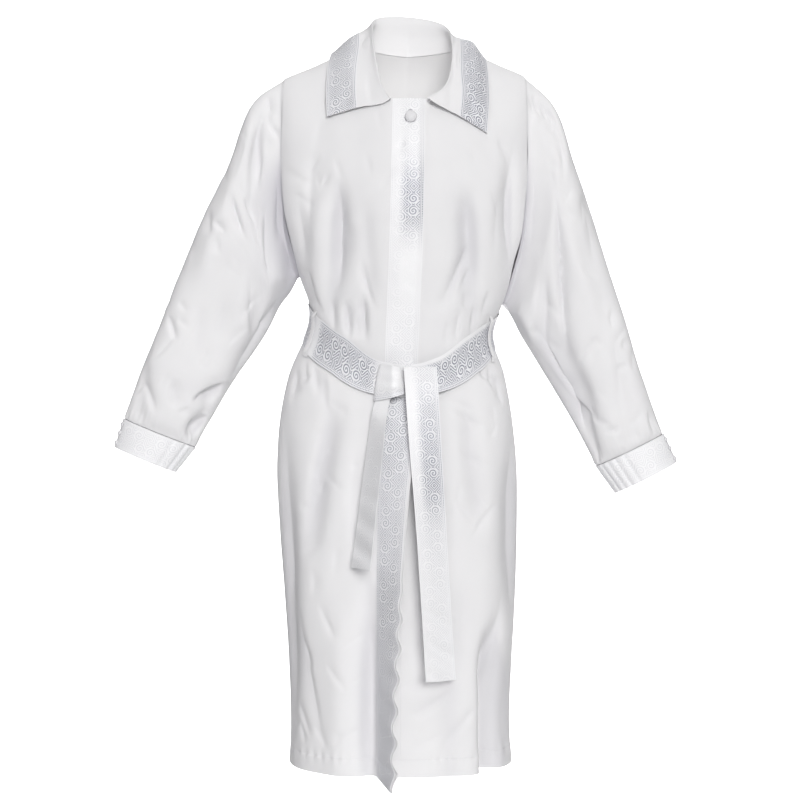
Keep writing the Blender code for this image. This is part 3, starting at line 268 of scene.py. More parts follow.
# Creases in millimetres, by face: x and z of both ends, bow sideways, width of the steep side
# (its sign turns the steep side over), height outward
CREASE_FADE = 0.42
CREASE_SLACK = 2.2
CREASE_POWER = 1.6
CREASE_DEPTH = 1.65
SLEEVE_CREASE_DEPTH = 1.5
BODY_CREASES = {
    "front": (
        (-105, -193, -108, -394, 2, 8, -8.5), (-145, -144, -152, -293, 2, 7, -3.2),
        (-73, -317, -54, -397, 2, -3.2, -2.6), (-122, -382, -116, -440, 1, 3.6, -2.6),
        (-97, -382, -93, -452, 1, 4.6, -5), (-70, -366, -65, -458, 1, -4.6, -5.4),
        (-80, -406, -79, -449, 1, 3, -1.6), (-171, -201, -132, -156, 3, 3.6, -1.4),
        (-120, -190, -135, -217, 1, 2.6, -1.6), (-165, -219, -160, -339, 2, 6.5, -3.6),
        (-157, -329, -132, -418, 2, -5, -3), (-132, -99, -146, -161, 2, 6, -1.3),
        (-86, -265, -94, -329, 1, 7, -1.4), (93, -201, 105, -385, 2, -11, -5.4),
        (101, -296, 53, -394, 2, 3.6, -3), (110, -323, 73, -388, 2, 3.2, -1.4),
        (159, -136, 162, -360, 2, -6.5, -11), (136, -127, 160, -179, 2, 3, -2.2),
        (145, -204, 131, -329, 2, 7, -2.2), (108, -385, 98, -443, 1, 3.6, -2.4),
        (81, -397, 75, -455, 1, -3.2, -2.2), (127, -366, 116, -418, 1, 3.2, -2),
        (61, -412, 58, -464, 1, 3, -1.5), (49, -142, 67, -290, 2, 9, -1.2),
        (-194, -520, -190, -1170, 1, 9, -9), (-114, -520, -163, -796, 3, 9, -4),
        (-53, -848, -53, -1170, 2, -9, -8), (-178, -842, -124, -1090, 4, -6, -3.2),
        (-175, -1007, -148, -1068, 2, 3.2, -2.4), (-171, -1038, -158, -1078, 1, 2.8, -1.8),
        (-165, -909, -149, -964, 1, 3.2, -1.6), (-175, -483, -181, -547, 1, 4.4, -3.2),
        (-149, -480, -140, -538, 1, 3.8, -2.8), (-162, -475, -160, -520, 1, -3, -1.8),
        (-172, -513, -149, -500, 1, 2.6, -1.4), (-132, -489, -125, -572, 1, -4.4, -2),
        (-77, -602, -86, -786, 2, 8, -2.2), (-135, -648, -96, -684, 2, 2.8, -1),
        (-139, -848, -109, -912, 2, 3.4, -1.2), (-128, -940, -91, -989, 2, 3.4, -1.3),
        (-114, -1065, -71, -1038, 2, 3.4, -1.2), (165, -560, 165, -920, 1, -9, -8),
        (128, -480, 137, -529, 1, 4.2, -3.4), (116, -477, 121, -513, 1, 3.2, -2.2),
        (141, -498, 148, -553, 1, -4.2, -3), (107, -495, 141, -518, 1, 2.8, -1.8),
        (58, -552, 128, -587, 2, 2.8, -1.6), (53, -536, 110, -558, 1, 2.8, -1.1),
        (72, -612, 128, -648, 2, 3.2, -1.3), (64, -679, 108, -740, 2, 2.8, -1.2),
        (144, -691, 93, -759, 2, 3.2, -1.5), (148, -845, 124, -1001, 3, -6.5, -5),
        (147, -903, 141, -1164, 2, 10, -10), (-14, -1030, 75, -980, 2, 3.6, -2.2),
        (-13, -989, 36, -957, 1, 3.2, -1.6), (49, -1072, 113, -1001, 2, 4.2, -1.8),
        (-8, -1075, 58, -1047, 2, 3.4, -1.3), (88, -786, 82, -970, 2, 9, -1.6),
    ),
    "back": (
        (-118, -130, -88, -262, 5, 8, -4), (116, -120, 92, -254, -5, -8, -4),
        (-136, -160, -124, -300, 4, 7, -3), (132, -160, 122, -290, -4, -7, -3),
        (-40, -50, -50, -190, 3, 9, -2), (48, -60, 56, -200, -3, -9, -2), (-28, -220, -34, -384, 3, -5, -3),
        (18, -240, 24, -388, -3, 5, -2.6), (-64, -300, -58, -396, 2, 4, -2.8),
        (60, -290, 54, -394, -2, -4, -2.8), (-98, -310, -88, -398, 3, 4.4, -2.4),
        (96, -310, 84, -398, -3, -4.4, -2.4), (-4, -330, -2, -398, 1, 3.4, -1.6),
        (-46, -424, -54, -570, 3, 5, -3.4), (34, -424, 42, -560, -3, -5, -3.4),
        (-126, -424, -138, -570, 4, 5.4, -3), (120, -424, 130, -560, -4, -5.4, -3),
        (-84, -424, -92, -520, 2, 3.6, -2.2), (80, -424, 86, -510, -2, -3.6, -2.2),
        (-70, -600, -108, -652, 5, 3.2, -1.5), (60, -610, 102, -660, -5, 3.2, -1.5),
        (-30, -690, 10, -724, 5, 3.2, -1.4), (-122, -720, -82, -790, -5, 3.4, -1.8),
        (112, -740, 76, -804, 5, 3.4, -1.8), (20, -800, 30, -1110, 4, 10, -4),
        (-36, -840, -44, -1110, 4, -10, -4), (84, -860, 122, -926, -5, 3.6, -1.6),
        (-118, -900, -80, -966, 5, 3.6, -1.6), (-20, -1000, 24, -1050, 5, 3.6, -1.5),
        (94, -1010, 56, -1064, 5, 3.6, -1.5), (-184, -560, -184, -1130, 1, 15, -9),
        (164, -560, 160, -1130, 1, -15, -9),
    ),
}
SLEEVE_CREASES = {
    "left": {
        "front": (
            (-232, -77, -238, -221, 1, -4.4, -4.6), (-224, -101, -191, -138, 1, 3.2, -2.6),
            (-223, -55, -216, -96, 1, 3, -2), (-278, -212, -252, -295, 2, -3.4, -3.4),
            (-256, -218, -237, -268, 1, 3.2, -2.6), (-307, -259, -284, -278, 1, 3.2, -2.2),
            (-223, -206, -215, -394, 2, 5.4, -3.6), (-245, -319, -242, -447, 1, 8, -2.4),
            (-196, -149, -202, -306, 2, 6, -3), (-379, -403, -362, -453, 1, 3.2, -2.4),
            (-281, -514, -342, -547, 2, 4.4, -5.6), (-314, -563, -351, -604, 1, -4.4, -5.6),
            (-339, -554, -364, -563, 1, 3.4, -1.6), (-368, -503, -365, -560, 1, 5.4, -2.6),
            (-417, -507, -394, -566, 1, 4.2, -2.2), (-281, -366, -304, -463, 2, 8, -2.2),
            (-318, -378, -336, -497, 2, 9, -2), (-364, -411, -340, -430, 1, 2.8, -1.2),
            (-361, -383, -346, -405, 1, 2.8, -1), (-254, -102, -276, -206, 2, 8, -2.4),
            (-180, -356, -289, -544, 1, -8, -4.4),
        ),
        "back": (
            (-245, -55, -252, -204, 1, -4.8, -4.1), (-226, -94, -192, -132, 1, 3.5, -2.3),
            (-229, -42, -223, -84, 1, 3.3, -1.8), (-283, -195, -257, -281, 2, -3.7, -3.1),
            (-270, -220, -251, -272, 1, 3.5, -2.3), (-310, -252, -286, -272, 1, 3.5, -2),
            (-224, -208, -216, -401, 2, 5.9, -3.2), (-203, -132, -209, -294, 2, 6.6, -2.7),
            (-395, -388, -377, -440, 1, 3.5, -2.2), (-315, -575, -354, -617, 1, -4.8, -5),
            (-357, -553, -383, -563, 1, 3.7, -1.4), (-421, -508, -397, -570, 1, 4.6, -2),
            (-294, -362, -318, -462, 2, 8.8, -2), (-383, -414, -358, -433, 1, 3.1, -1.1),
            (-372, -378, -358, -401, 1, 3.1, -0.9), (-185, -351, -297, -544, 1, -8.8, -4),
        ),
    },
    "right": {
        "front": (
            (189, -52, 202, -93, 1, 2.6, -2), (197, -49, 211, -99, 1, 2.6, -2.2),
            (207, -55, 222, -104, 1, 2.6, -2), (185, -62, 192, -115, 1, 2.8, -1.8),
            (216, -65, 233, -112, 1, 2.8, -1.6), (228, -174, 249, -500, 2, 5.4, -5),
            (247, -491, 264, -588, 1, 6.5, -4.6), (203, -143, 191, -328, 2, 7, -2.2),
            (214, -337, 221, -472, 1, -5, -2.6), (277, -181, 297, -353, 2, 9, -1.6),
            (302, -590, 337, -586, 1, 2.8, -2.2), (283, -572, 321, -580, 1, 2.8, -1.4),
            (379, -554, 390, -597, 1, 3.4, -2), (319, -431, 338, -541, 1, 8, -1.6),
            (180, -384, 301, -632, 1, 14, -8),
        ),
        "back": (
            (204, -27, 216, -69, 1, 2.9, -1.8), (195, -44, 210, -96, 1, 2.9, -2),
            (219, -35, 235, -85, 1, 2.9, -1.8), (194, -52, 202, -107, 1, 3.1, -1.6),
            (225, -48, 242, -96, 1, 3.1, -1.4), (237, -172, 258, -507, 2, 5.9, -4.5),
            (254, -492, 272, -592, 1, 7.2, -4.1), (225, -319, 232, -458, 1, -5.5, -2.3),
            (294, -169, 315, -346, 2, 9.9, -1.4), (291, -579, 330, -587, 1, 3.1, -1.3),
            (382, -565, 393, -610, 1, 3.7, -1.8), (186, -380, 310, -635, 1, 15.4, -7.2),
        ),
    },
}

# Short creases scattered over a face: least and most length, width and height, then for each
# face its low x, high x, low z, high z, how many, and a seed, which is moved on for a back
LOOSE_LOW = (18.0, 2.6, -1.2)
LOOSE_HIGH = (62.0, 4.4, -0.3)
LOOSE_BOW = 3.0
LOOSE_SLANTS = (0.62, 2.52)
BACK_SEED = 100
LOOSE_CREASES = {
    "front": ((-175, 150, -1090, -450, 60, 21), (-160, 150, -430, -120, 22, 22)),
    "back": ((-175, 150, -1090, -430, 60, 23), (-160, 150, -400, -60, 26, 24)),
    "left": ((-440, -200, -570, -60, 60, 25),),
    "right": ((190, 400, -620, -60, 60, 26),),
}

# Slow unevenness of the cloth: size and height of its waves, and how many of each
RIPPLE_WAVES = ((0.170, 0.00035), (0.083, 0.00022), (0.041, 0.00010))
RIPPLE_COUNT = 3
BODY_SEED = 7
SLEEVE_SEED = {"left": 11, "right": 12}
SIDE_CALM = 0.30
TOP_CALM = 0.020
BELT_CALM = 0.036

# Turned hem with its stitching
HEM_DEPTH = 0.027
HEM_THICK = 0.0006
HEM_EASE = 0.0015
HEM_GROOVE = 0.0006
HEM_GROOVE_WIDTH = 0.0012
HEM_PUCKER = 0.0008
HEM_PUCKER_WIDTH = 0.008
HEM_PLACES = (0.0, 0.0006, 0.002, 0.006, 0.011, 0.016, 0.0205, 0.0235, 0.0252, 0.0262, 0.0270,
              0.0278, 0.0288, 0.0305, 0.0335, 0.038)

# Waved free edge of the front below the belt
BAND_MARGIN = 0.004
WAVE_TOP = -0.78
WAVE_FADE = 0.12
WAVE_LENGTH = 0.044
WAVE_SIDE = 0.0028
WAVE_FORWARD = 0.0030
WAVE_TURN = 1.3

# Grid sizes
ROW_STEP = 0.0034
CHEST_ROWS = 76
NECK_ROWS = 34
CHEST_SHARE = 0.5
FRONT_COLUMNS = 72
BAND_CELLS = 14
BACK_SIDE_COLUMNS = 34
BACK_NECK_COLUMNS = 48
BACK_ROWS = 110
BACK_EDGE_POWER = 4
BACK_EVEN_SPEED = 1.4
SLEEVE_TURNS = 168
SLEEVE_RINGS = 176
CUFF_RINGS = 20
COLLAR_STEPS = 150
COLLAR_STAND_CELLS = 30
COLLAR_LEAF_CELLS = 14
RIBBON_CELLS = 14
BELT_STEPS = 300
TAIL_ROWS = 150
KNOT_STEPS = 60
KNOT_ROWS = 24
SHARP_ANGLE = 50.0

# Puckers along the hem, and gathers where a sleeve meets its cuff
PUCKER_LENGTH = 0.013
GATHER_COUNT = 34
GATHER_REACH = 0.13
GATHER_RISE = 0.0016
GATHER_WIDTH = 0.0075
GATHER_SHIFT = 0.35
GATHER_LENGTHS = (0.5, 1.0)
GATHER_HEIGHTS = (0.3, 1.0)
HEAD_CALM = 0.03
CUFF_CALM = 0.012

# Pleats of a cuff: turn, half width in turns, height outward
CUFF_PLEATS = {
    "left": ((0.330, 0.010, -0.0012), (0.395, 0.012, -0.0022), (0.440, 0.010, -0.0012),
             (0.620, 0.012, -0.0014), (0.760, 0.012, -0.0012)),
    "right": ((0.290, 0.009, -0.0014), (0.335, 0.009, -0.0018), (0.375, 0.009, -0.0016),
              (0.420, 0.010, -0.0018), (0.640, 0.012, -0.0014), (0.780, 0.012, -0.0012)),
}
CUFF_OPENING_TURN = 0.012
CUFF_OPENING_REACH = 0.08
CUFF_OPENING_STEP = 0.0010

# Back neck facing, and how the back's rows draw together toward the neck
FACING_CLIMB = 0.8
FACING_WALL = 0.0008
TOP_CROWDING = 1.25

# Creases of the collar, as in the table of the body
COLLAR_FRONT_Y = -0.03
COLLAR_CREASE_DEPTH = 0.6
COLLAR_CREASES = {
    "front": (
        (-62, -30, -56, -94, 2, 4, -2), (-92, -40, -98, -98, -2, -5, -1.6),
        (70, -30, 64, -112, 2, 4.4, -1.8), (94, -50, 98, -124, -2, -5, -1.6),
    ),
    "back": (
        (-60, 80, -75, 10, 2, 5, -1.6), (-12, 84, -16, 10, -2, 4, -1.4), (46, 78, 56, 10, 2, -5, -1.6),
    ),
}

# Ribbon: its width everywhere, and the waves of the hanging ends
RIBBON_WIDTH = 0.050
TAIL_WAVE = 0.046
TAIL_WAVE_SLANT = 0.7
TAIL_WAVE_RISE = 0.0030
TAIL_WAVE_FADE = 0.16
LONG_WAVE_FROM = -0.72
SHORT_WAVE_FROM = -0.62

# How strongly the pattern shows and how dark the ground is, a painted shade and sheen of the
# satin set by place: by height, at its left and at its right edge, and on the collar by turn
SILVER_SPLIT = 0.22
SILVER_EASE = 0.26
PLACKET_SILVER_AND_SHADE = (
    (-1.140, 0.85, 0.80), (-1.000, 0.75, 0.70), (-0.840, 0.65, 0.60), (-0.700, 0.50, 0.50),
    (-0.540, 0.60, 0.60), (-0.505, 0.30, 0.30), (-0.420, 0.10, 0.12), (-0.300, 0.08, 0.16),
    (-0.262, 0.10, 0.85), (-0.205, 0.14, 0.95), (-0.170, 0.06, 0.35), (-0.080, 0.05, 0.15),
)
LONG_TAIL_SILVER_AND_SHADE = (
    (-1.000, 0.06, 0.12), (-0.860, 0.08, 0.14), (-0.790, 0.12, 0.20), (-0.723, 0.20, 0.45),
    (-0.680, 0.20, 1.00), (-0.617, 0.16, 1.00), (-0.560, 0.04, 0.80), (-0.500, 0.04, 0.30),
)
SHORT_TAIL_SILVER_AND_SHADE = (
    (-0.820, 0.10, 0.10), (-0.700, 0.14, 0.14), (-0.600, 0.12, 0.12), (-0.578, 0.10, 0.03),
    (-0.530, 0.08, 0.00),
)
COLLAR_SILVER_AND_SHADE = ((-1.0, 0.75), (-0.5, 0.70), (0.0, 0.80), (0.5, 0.95), (1.0, 1.2))
BACK_SILVER_AND_SHADE = 0.85
BELT_PLAIN_X = -0.144
BELT_PLAIN_HALF = 0.007
BELT_PLAIN_POWER = 4
BELT_TURNED_FROM = 0.34
BELT_TURNED_EASE = 0.05
BELT_FADE_X = -0.062
BELT_FADE_EASE = 0.022
BELT_FADE_SHARE = 0.95
KNOT_SILVER_AND_SHADE_TOP = 0.02
KNOT_SILVER_AND_SHADE_LOW = 0.60
KNOT_SILVER_SPEED = 1.5
KNOT_SINK = 0.0075
CUFF_SILVER_AND_SHADE = 0.15

# Knot and loops
KNOT_CREASES = ((0.10, 4.0, 1.4), (0.07, 9.0, -0.9))
LOOP_ROWS = 60
LOOP_CELLS = 4
LOOP_TURN = 0.26

# Buttons: profile, and the cloth drawn in below
BUTTON_ROWS = 16
BUTTON_TURNS = 36
BUTTON_ROUND = 0.85
BUTTON_BASE = 0.30
BUTTON_DRAWN = 0.05
BUTTON_FOLDS = 9

# Thread loop above the neck button, and stitches
TUBE_TURNS = 10
TUBE_REFERENCE = (0.0, 1.0, 0.0)
STITCH_WIDTH = 0.0006
STITCH_HEIGHT = 0.0003
STITCH_FULL = 0.55

# Finishes: weave and pattern in millimetres, heights in metres
CLOTH_SHADE = (0.775, 0.772, 0.785, 1.0)
# Painted shade of the satin ground, reached where the ribbon's pattern strength is highest
RIBBON_PAINTED_SHADE = (0.800, 0.803, 0.830, 1.0)
BUTTON_SHADE = (0.640, 0.640, 0.665, 1.0)
THREAD_SHADE = (0.640, 0.640, 0.670, 1.0)
WEAVE_PITCH = 0.62
WEAVE_HEIGHT = 0.000022
SLUB_HEIGHT = 0.00006
SLUB_SCALE = 0.35
SLUB_SHARE = 0.35
CLOUD_SCALE = 0.012
CLOUD_SHARE = 0.9
NOISE_ROUGHNESS = 0.55
FINE_DETAIL = 3.0
SOFT_DETAIL = 2.0
CLOTH_ROUGHNESS = 0.80
SLUB_ROUGHNESS = 0.10
CLOTH_SHEEN = 0.12
SHEEN_ROUGHNESS = 0.5
CLOTH_BUMP = 0.8
SATIN_PITCH = 0.75
SATIN_HEIGHT = 0.000012
SATIN_SLUB_SCALE = 0.5
SATIN_SLUB = 0.06
PATTERN_SMOOTH = 0.12
SATIN_ROUGHNESS = 0.46
SATIN_SHEEN = 0.08
SATIN_BUMP = 0.7
GROUND_PAINTED_SHADE_SHARE = 0.85
SILVER_METAL = 0.2
THREAD_HEIGHT = 0.00014
TWIST_PITCH = 0.55
TWIST_HEIGHT = 0.00004
THREAD_ROUGHNESS = 0.55
BUTTON_SLUB_SCALE = 0.8
BUTTON_ROUGHNESS = 0.62
RIBBON_BORDER = 6.25
CELL = 18.75
HARD_STEP = 0.01
FIELD_SOFT = 0.1
SCROLL_PITCH = 3.9
SCROLL_RADIUS = 7.3
COIL_START = 8.0
SCROLL_MARGIN = 0.8
SCROLL_SOFT = 0.3
LINE_SHARE = 0.21
LINE_SOFT = 0.09
CELLS_TO_LOZENGE = 3.0
DOT_PLACE = 2.4
DOT_STEP = 2.6
DOT_SIZE = 0.8
DOT_SOFT = 0.25
EDGE_LINE = 5.0
EDGE_LINE_HALF = 0.45
EDGE_LINE_SOFT = 0.2
EDGE_LINE_SHARE = 0.7
PATTERN_LEAST = 0.05

# Seat of the buttons, the thread loop and the facing's stitching
BUTTON_SEAT = 0.0001
PLACKET_FIRST = 1
LOOP_OPEN = 1.9
THREAD_LOOP_POINTS = 40
THREAD_LOOP_WIDTH = 0.42
THREAD_LOOP_HEIGHT = 0.45
THREAD_LOOP_RISE = 0.85
THREAD_LOOP_RADIUS = 0.0007
FACING_LINE_TOP = -0.556
FACING_LINE_X = (-0.010, -0.012)
FACING_LINE_POINTS = 260
FACING_LINE_STEP = 0.001

# Sides of the tables, with their names in the nodes
SIDE_NAMES = (("left", "r"), ("right", "l"))
FRONT_NODES = (("left", "front_over"), ("right", "front_under"))

# Stage: floor and backdrop, lights, sky and camera
BACKDROP_WHITE = (1.0, 1.0, 1.0, 1.0)
FLOOR_SHADE = (0.900, 0.900, 0.905, 1.0)
BACKDROP_GLOW = 1.0
STAGE_SCALE = 1.5
STAGE_ROUGHNESS = 0.9
STAGE_FLOOR = -2.20
FLOOR_PROFILE = ((-6.0, STAGE_FLOOR), (3.4, STAGE_FLOOR))
FLOOR_HALF = 6.0
BACKDROP_PROFILE = ((3.4, STAGE_FLOOR + 0.01), (3.4, 1.25))
BACKDROP_HALF = 2.0
LIGHTS = (
    ("key", "SUN", (0.60, -3.4, 0.70), (0.0, 0.0, -0.50), 0.45, 1.95, (1.0, 0.995, 0.985)),
    ("top", "SUN", (0.0, -0.9, 3.0), (0.0, 0.0, -0.50), 1.2, 1.0, (1.0, 0.995, 0.985)),
    ("fill", "SUN", (-0.9, -3.4, -0.8), (0.0, 0.0, -0.50), 1.0, 0.36, (0.96, 0.95, 1.0)),
    ("neck", "AREA", (0.006, -0.03, -0.07), (0.006, 0.10, 0.03), 0.10, 0.06, (1.0, 0.99, 0.97)),
    ("back", "AREA", (0.3, 2.6, 1.7), (0.0, 0.0, -0.45), 1.6, 22.0, (1.0, 0.995, 0.985)),
)
SKY_COLOUR = (0.95, 0.95, 1.0, 1.0)
SKY_STRENGTH = 0.10
CAMERA_PLACE = (-0.0128, -2.4, -0.541)
CAMERA_LENS = 67.5
CAMERA_SENSOR = 36.0

# Names of the flat map, of the ribbon's pattern strength with its painted shade and sheen, and of the
# cloth's painted shade on each mesh
FLAT_UV = "flat"
SILVER_AND_PAINTED_SHADE = "silver"
SHADE = "shade"

# Painted shade mixed into the cloth's colour in the depth of folds and beside the armholes: reach in metres
# and strength
SHADE_DEPTH = 0.013
SHADE_FOLD = 0.30
SEAM_LINE_REACH = 0.0016
SEAM_LINE_SHADE = 0.50
SEAM_LINE_FADE = 0.20
UNDERARM_REACH = {"left": 0.046, "right": 0.012}
UNDERARM_SHADE = {"left": 0.90, "right": 0.80}
UNDERARM_SPAN = 0.31
UNDERARM_EASE = 0.08
CLOTH_PAINTED_SHADE = (0.480, 0.470, 0.515, 1.0)


def smooth_step(value):
    """Ease from 0 to 1 with level ends."""
    t = np.clip(value, 0.0, 1.0)
    return t * t * (3.0 - 2.0 * t)


def bell(value, power=2):
    """Fall from 1 in the middle toward 0 on both sides."""
    return np.exp(-value ** power)


def bent(value, power):
    """Raise a value to a power and keep its sign."""
    return np.sign(value) * np.abs(value) ** power


def between(first, last, share):
    """Go a share of the way from the first to the last."""
    return first + (last - first) * share


def shares(count, first=0.0):
    """Step evenly up to 1."""
    return np.linspace(first, 1.0, count + 1)


def unit(vectors):
    """Scale vectors to a length of 1."""
    return vectors / np.maximum(np.linalg.norm(vectors, axis=-1, keepdims=True), NO_LENGTH)


def turns_apart(turn, place):
    """Give how far one turn lies past another, the shorter way round."""
    return (turn - place + 0.5) % 1.0 - 0.5


def faded(share, rise, fall):
    """Fade in from 0 and out toward 1, each over its own share."""
    return smooth_step(share / rise) * smooth_step((1.0 - share) / fall)


def path_rows(places, stops, wanted):
    """Read many smooth paths at once: a cubic through each row of stops, by its run length."""
    step = np.diff(places, axis=1)[..., None]
    rise = np.diff(stops, axis=1) / step
    before, after = step[:, :-1], step[:, 1:]
    inside = (before * rise[:, 1:] + after * rise[:, :-1]) / (before + after)
    slopes = np.concatenate([rise[:, :1], inside, rise[:, -1:]], axis=1)
    passed = (wanted[:, :, None] > places[:, None, :]).sum(axis=2)
    index = np.clip(passed - 1, 0, places.shape[1] - 2)
    line = np.arange(len(places))[:, None]
    size = step[line, index]
    t = (wanted - places[line, index])[..., None] / size
    start = stops[line, index] * (1 + 2 * t) * (1 - t) ** 2
    start = start + slopes[line, index] * size * t * (1 - t) ** 2
    end = stops[line, index + 1] * t * t * (3 - 2 * t)
    return start + end + slopes[line, index + 1] * size * t * t * (t - 1)


def along(table, where):
    """Read every column of a table after its first at any place by a cubic through its rows."""
    rows = np.array(table, dtype=float)
    where = np.clip(where, rows[0, 0], rows[-1, 0])
    read = path_rows(rows[None, :, 0], rows[None, :, 1:], where.reshape(1, -1))
    return np.moveaxis(read.reshape(where.shape + (-1,)), -1, 0)


def half_width(x, z):
    """Give the half width on the side where x lies."""
    left, right, _, _ = along(BODY_SECTIONS, z)
    return np.where(x < 0.0, left, right)


def face_depth(z, front):
    """Give the full depth of the front or the back."""
    _, _, ahead, behind = along(BODY_SECTIONS, z)
    return np.where(front, ahead, behind)


def shoulder_height(x):
    """Give the height of the shoulder line over x."""
    return SHOULDER_PEAK - SHOULDER_SLOPE * np.abs(x)


def crown_curve(front):
    """Give the reach and the power of each face's curve below the shoulder line."""
    reach = np.where(front, CROWN_FRONT, CROWN_BACK)
    return reach, np.where(front, CROWN_FRONT_POWER, CROWN_BACK_POWER)


def crown(x, z, front):
    """Give the share of full depth that a face has below the shoulder line."""
    reach, power = crown_curve(front)
    drop = np.clip((shoulder_height(x) - z) / reach, 0.0, 1.0)
    return (1.0 - (1.0 - drop) ** power) ** (1.0 / power)


def belt_height(theta):
    """Give the height of the belt's middle at an angle from the front."""
    return along(BELT_ROWS, np.degrees(theta))[0]


def fold_rise(x, z, front):
    """Add up the large folds of the body: each a bell across, faded at both ends."""
    total = np.zeros(np.broadcast(x, z).shape)
    for face, rows in BODY_FOLDS.items():
        here = front == (face == "front")
        for x_top, z_top, x_bottom, z_bottom, width, rise in rows:
            t = (z_top - z) / (z_top - z_bottom)
            across = bell((x - between(x_top, x_bottom, t)) / width)
            total = total + np.where(here, rise * faded(t, FOLD_FADE_IN, FOLD_FADE_OUT) * across, 0.0)
    return total


def crease_rise(table, x, z, front):
    """Add up creases laid along bowed lines over x and z, steep on one side, slack on the other.

    With s the distance from the line over the crease's width, drawn out by CREASE_SLACK on the
    slack side, each one is rise * exp(-s^CREASE_POWER), faded at both ends.
    """
    total = np.zeros(np.broadcast(x, z).shape)
    for face, rows in table.items():
        here = front == (face == "front")
        for row in rows:
            x_from, z_from, x_to, z_to, bow, width, rise = np.array(row) / MILLIMETRES
            run_x = x_to - x_from
            run_z = z_to - z_from
            reach = math.hypot(run_x, run_z)
            t = ((x - x_from) * run_x + (z - z_from) * run_z) / reach ** 2
            aside = ((x - x_from) * run_z - (z - z_from) * run_x) / reach
            s = (aside - bow * 4.0 * t * (1.0 - t)) / width
            s = np.where(s > 0.0, s, -s / CREASE_SLACK)
            one = rise * faded(t, CREASE_FADE, CREASE_FADE) * bell(s, CREASE_POWER)
            total = total + np.where(here, one, 0.0)
    return total * CREASE_DEPTH


def with_loose(table, names):
    """Add to each face's creases short ones of seeded place, slant and size."""
    full = {}
    for (face, rows), name in zip(table.items(), names):
        full[face] = list(rows)
        for low_x, high_x, low_z, high_z, count, seed in LOOSE_CREASES[name]:
            draw = np.random.default_rng(seed + BACK_SEED * (face == "back"))
            x = draw.uniform(low_x, high_x, count)
            z = draw.uniform(low_z, high_z, count)
            slant = draw.uniform(*LOOSE_SLANTS, count)
            size, width, rise = (draw.uniform(a, b, count) for a, b in zip(LOOSE_LOW, LOOSE_HIGH))
            bow = draw.uniform(-LOOSE_BOW, LOOSE_BOW, count)
            width = width * draw.choice((-1.0, 1.0), count)
            ends = (x + size * np.cos(slant), z + size * np.sin(slant))
            full[face] += list(zip(x, z, *ends, bow, width, rise))
    return full


def ripple(x, z, front, seed):
    """Give the cloth's slight unevenness: a few slow waves with seeded directions."""
    draw = np.random.default_rng(seed)
    total = np.zeros(np.broadcast(x, z).shape)
    facing = np.where(front, 1.0, -1.0)
    for size, rise in RIPPLE_WAVES:
        for _ in range(RIPPLE_COUNT):
            turn, phase = draw.uniform(0.0, ROUND, 2)
            way = x * math.cos(turn) * facing + z * math.sin(turn)
            total = total + rise * np.sin(ROUND * way / size + phase)
    return total


def body_point(theta, z, lift=0.0, fine=False):
    """Place a point of the body at an angle from the front, lifted off the cloth.

    The section is a superellipse, |x/half|^n + |y/depth|^n = 1, drawn in under the belt.
    """
    theta, z = np.broadcast_arrays(np.asarray(theta, float), np.asarray(z, float))
    sine = np.sin(theta)
    cosine = np.cos(theta)
    front = cosine >= 0.0
    half = half_width(sine, z)
    depth = face_depth(z, front)
    x = half * bent(sine, 2.0 / SECTION_POWER)
    y = -depth * bent(cosine, 2.0 / SECTION_POWER) * crown(x, z, front)
    across = bent(sine, 2.0 - 2.0 / SECTION_POWER) / half
    ahead = -bent(cosine, 2.0 - 2.0 / SECTION_POWER) / depth
    size = np.hypot(across, ahead)
    above_belt = z - belt_height(theta)
    rise = fold_rise(x, z, front) - CINCH_DEPTH * bell(above_belt / CINCH_REACH) + lift
    if fine:
        detail = crease_rise(with_loose(BODY_CREASES, ("front", "back")), x, z, front)
        detail = detail + ripple(x, z, front, BODY_SEED)
        edge = smooth_step(np.abs(cosine) / SIDE_CALM)
        detail = detail * edge * smooth_step((shoulder_height(x) - z) / TOP_CALM)
        off_belt = 1.0 - bell(above_belt / BELT_CALM)
        rise = rise + np.where(detail > 0.0, detail * off_belt, detail)
    return np.stack([x + across / size * rise, y + ahead / size * rise, z], axis=-1)


def section_angle(x, half):
    """Give the angle from the front or back at which a section of this half width has this x."""
    return np.arcsin(np.clip(np.abs(x) / half, 0.0, 1.0) ** (SECTION_POWER / 2.0))


def on_body(x, z, front, fine=False):
    """Place a point of the body by its x and its height."""
    theta = section_angle(x, half_width(x, z))
    theta = np.where(front, theta, math.pi - theta)
    return body_point(np.where(np.asarray(x) < 0.0, -theta, theta), z, fine=fine)


def grid_normals(points, loop=False):
    """Work out normals of a grid from its columns and rows: columns crossed with rows."""
    if loop:
        across = np.roll(points, -1, axis=1) - np.roll(points, 1, axis=1)
    else:
        across = np.gradient(points, axis=1)
    return unit(np.cross(across, np.gradient(points, axis=0)))


def outward_normals(points):
    """Give a tube's outward normals, whichever way its rings run."""
    normals = grid_normals(points, loop=True)
    middle = points.mean(axis=1, keepdims=True)
    return -normals if np.sum(normals * (points - middle)) < 0.0 else normals


def lengths(points, axis):
    """Measure along one axis of a grid: the running sum of the steps between its points."""
    steps = np.linalg.norm(np.diff(points, axis=axis), axis=-1)
    zero = np.zeros_like(np.take(steps, [0], axis=axis))
    return np.concatenate([zero, np.cumsum(steps, axis=axis)], axis=axis)


def flat_map(points):
    """Give each grid point its place on the flat cloth, in metres along columns and rows."""
    across = lengths(points, 1)
    up = lengths(points, 0)
    middle = points.shape[1] // 2
    across = across - across[:, middle:middle + 1]
    return np.stack([across, up.mean(axis=1, keepdims=True) + 0.0 * across], axis=-1)


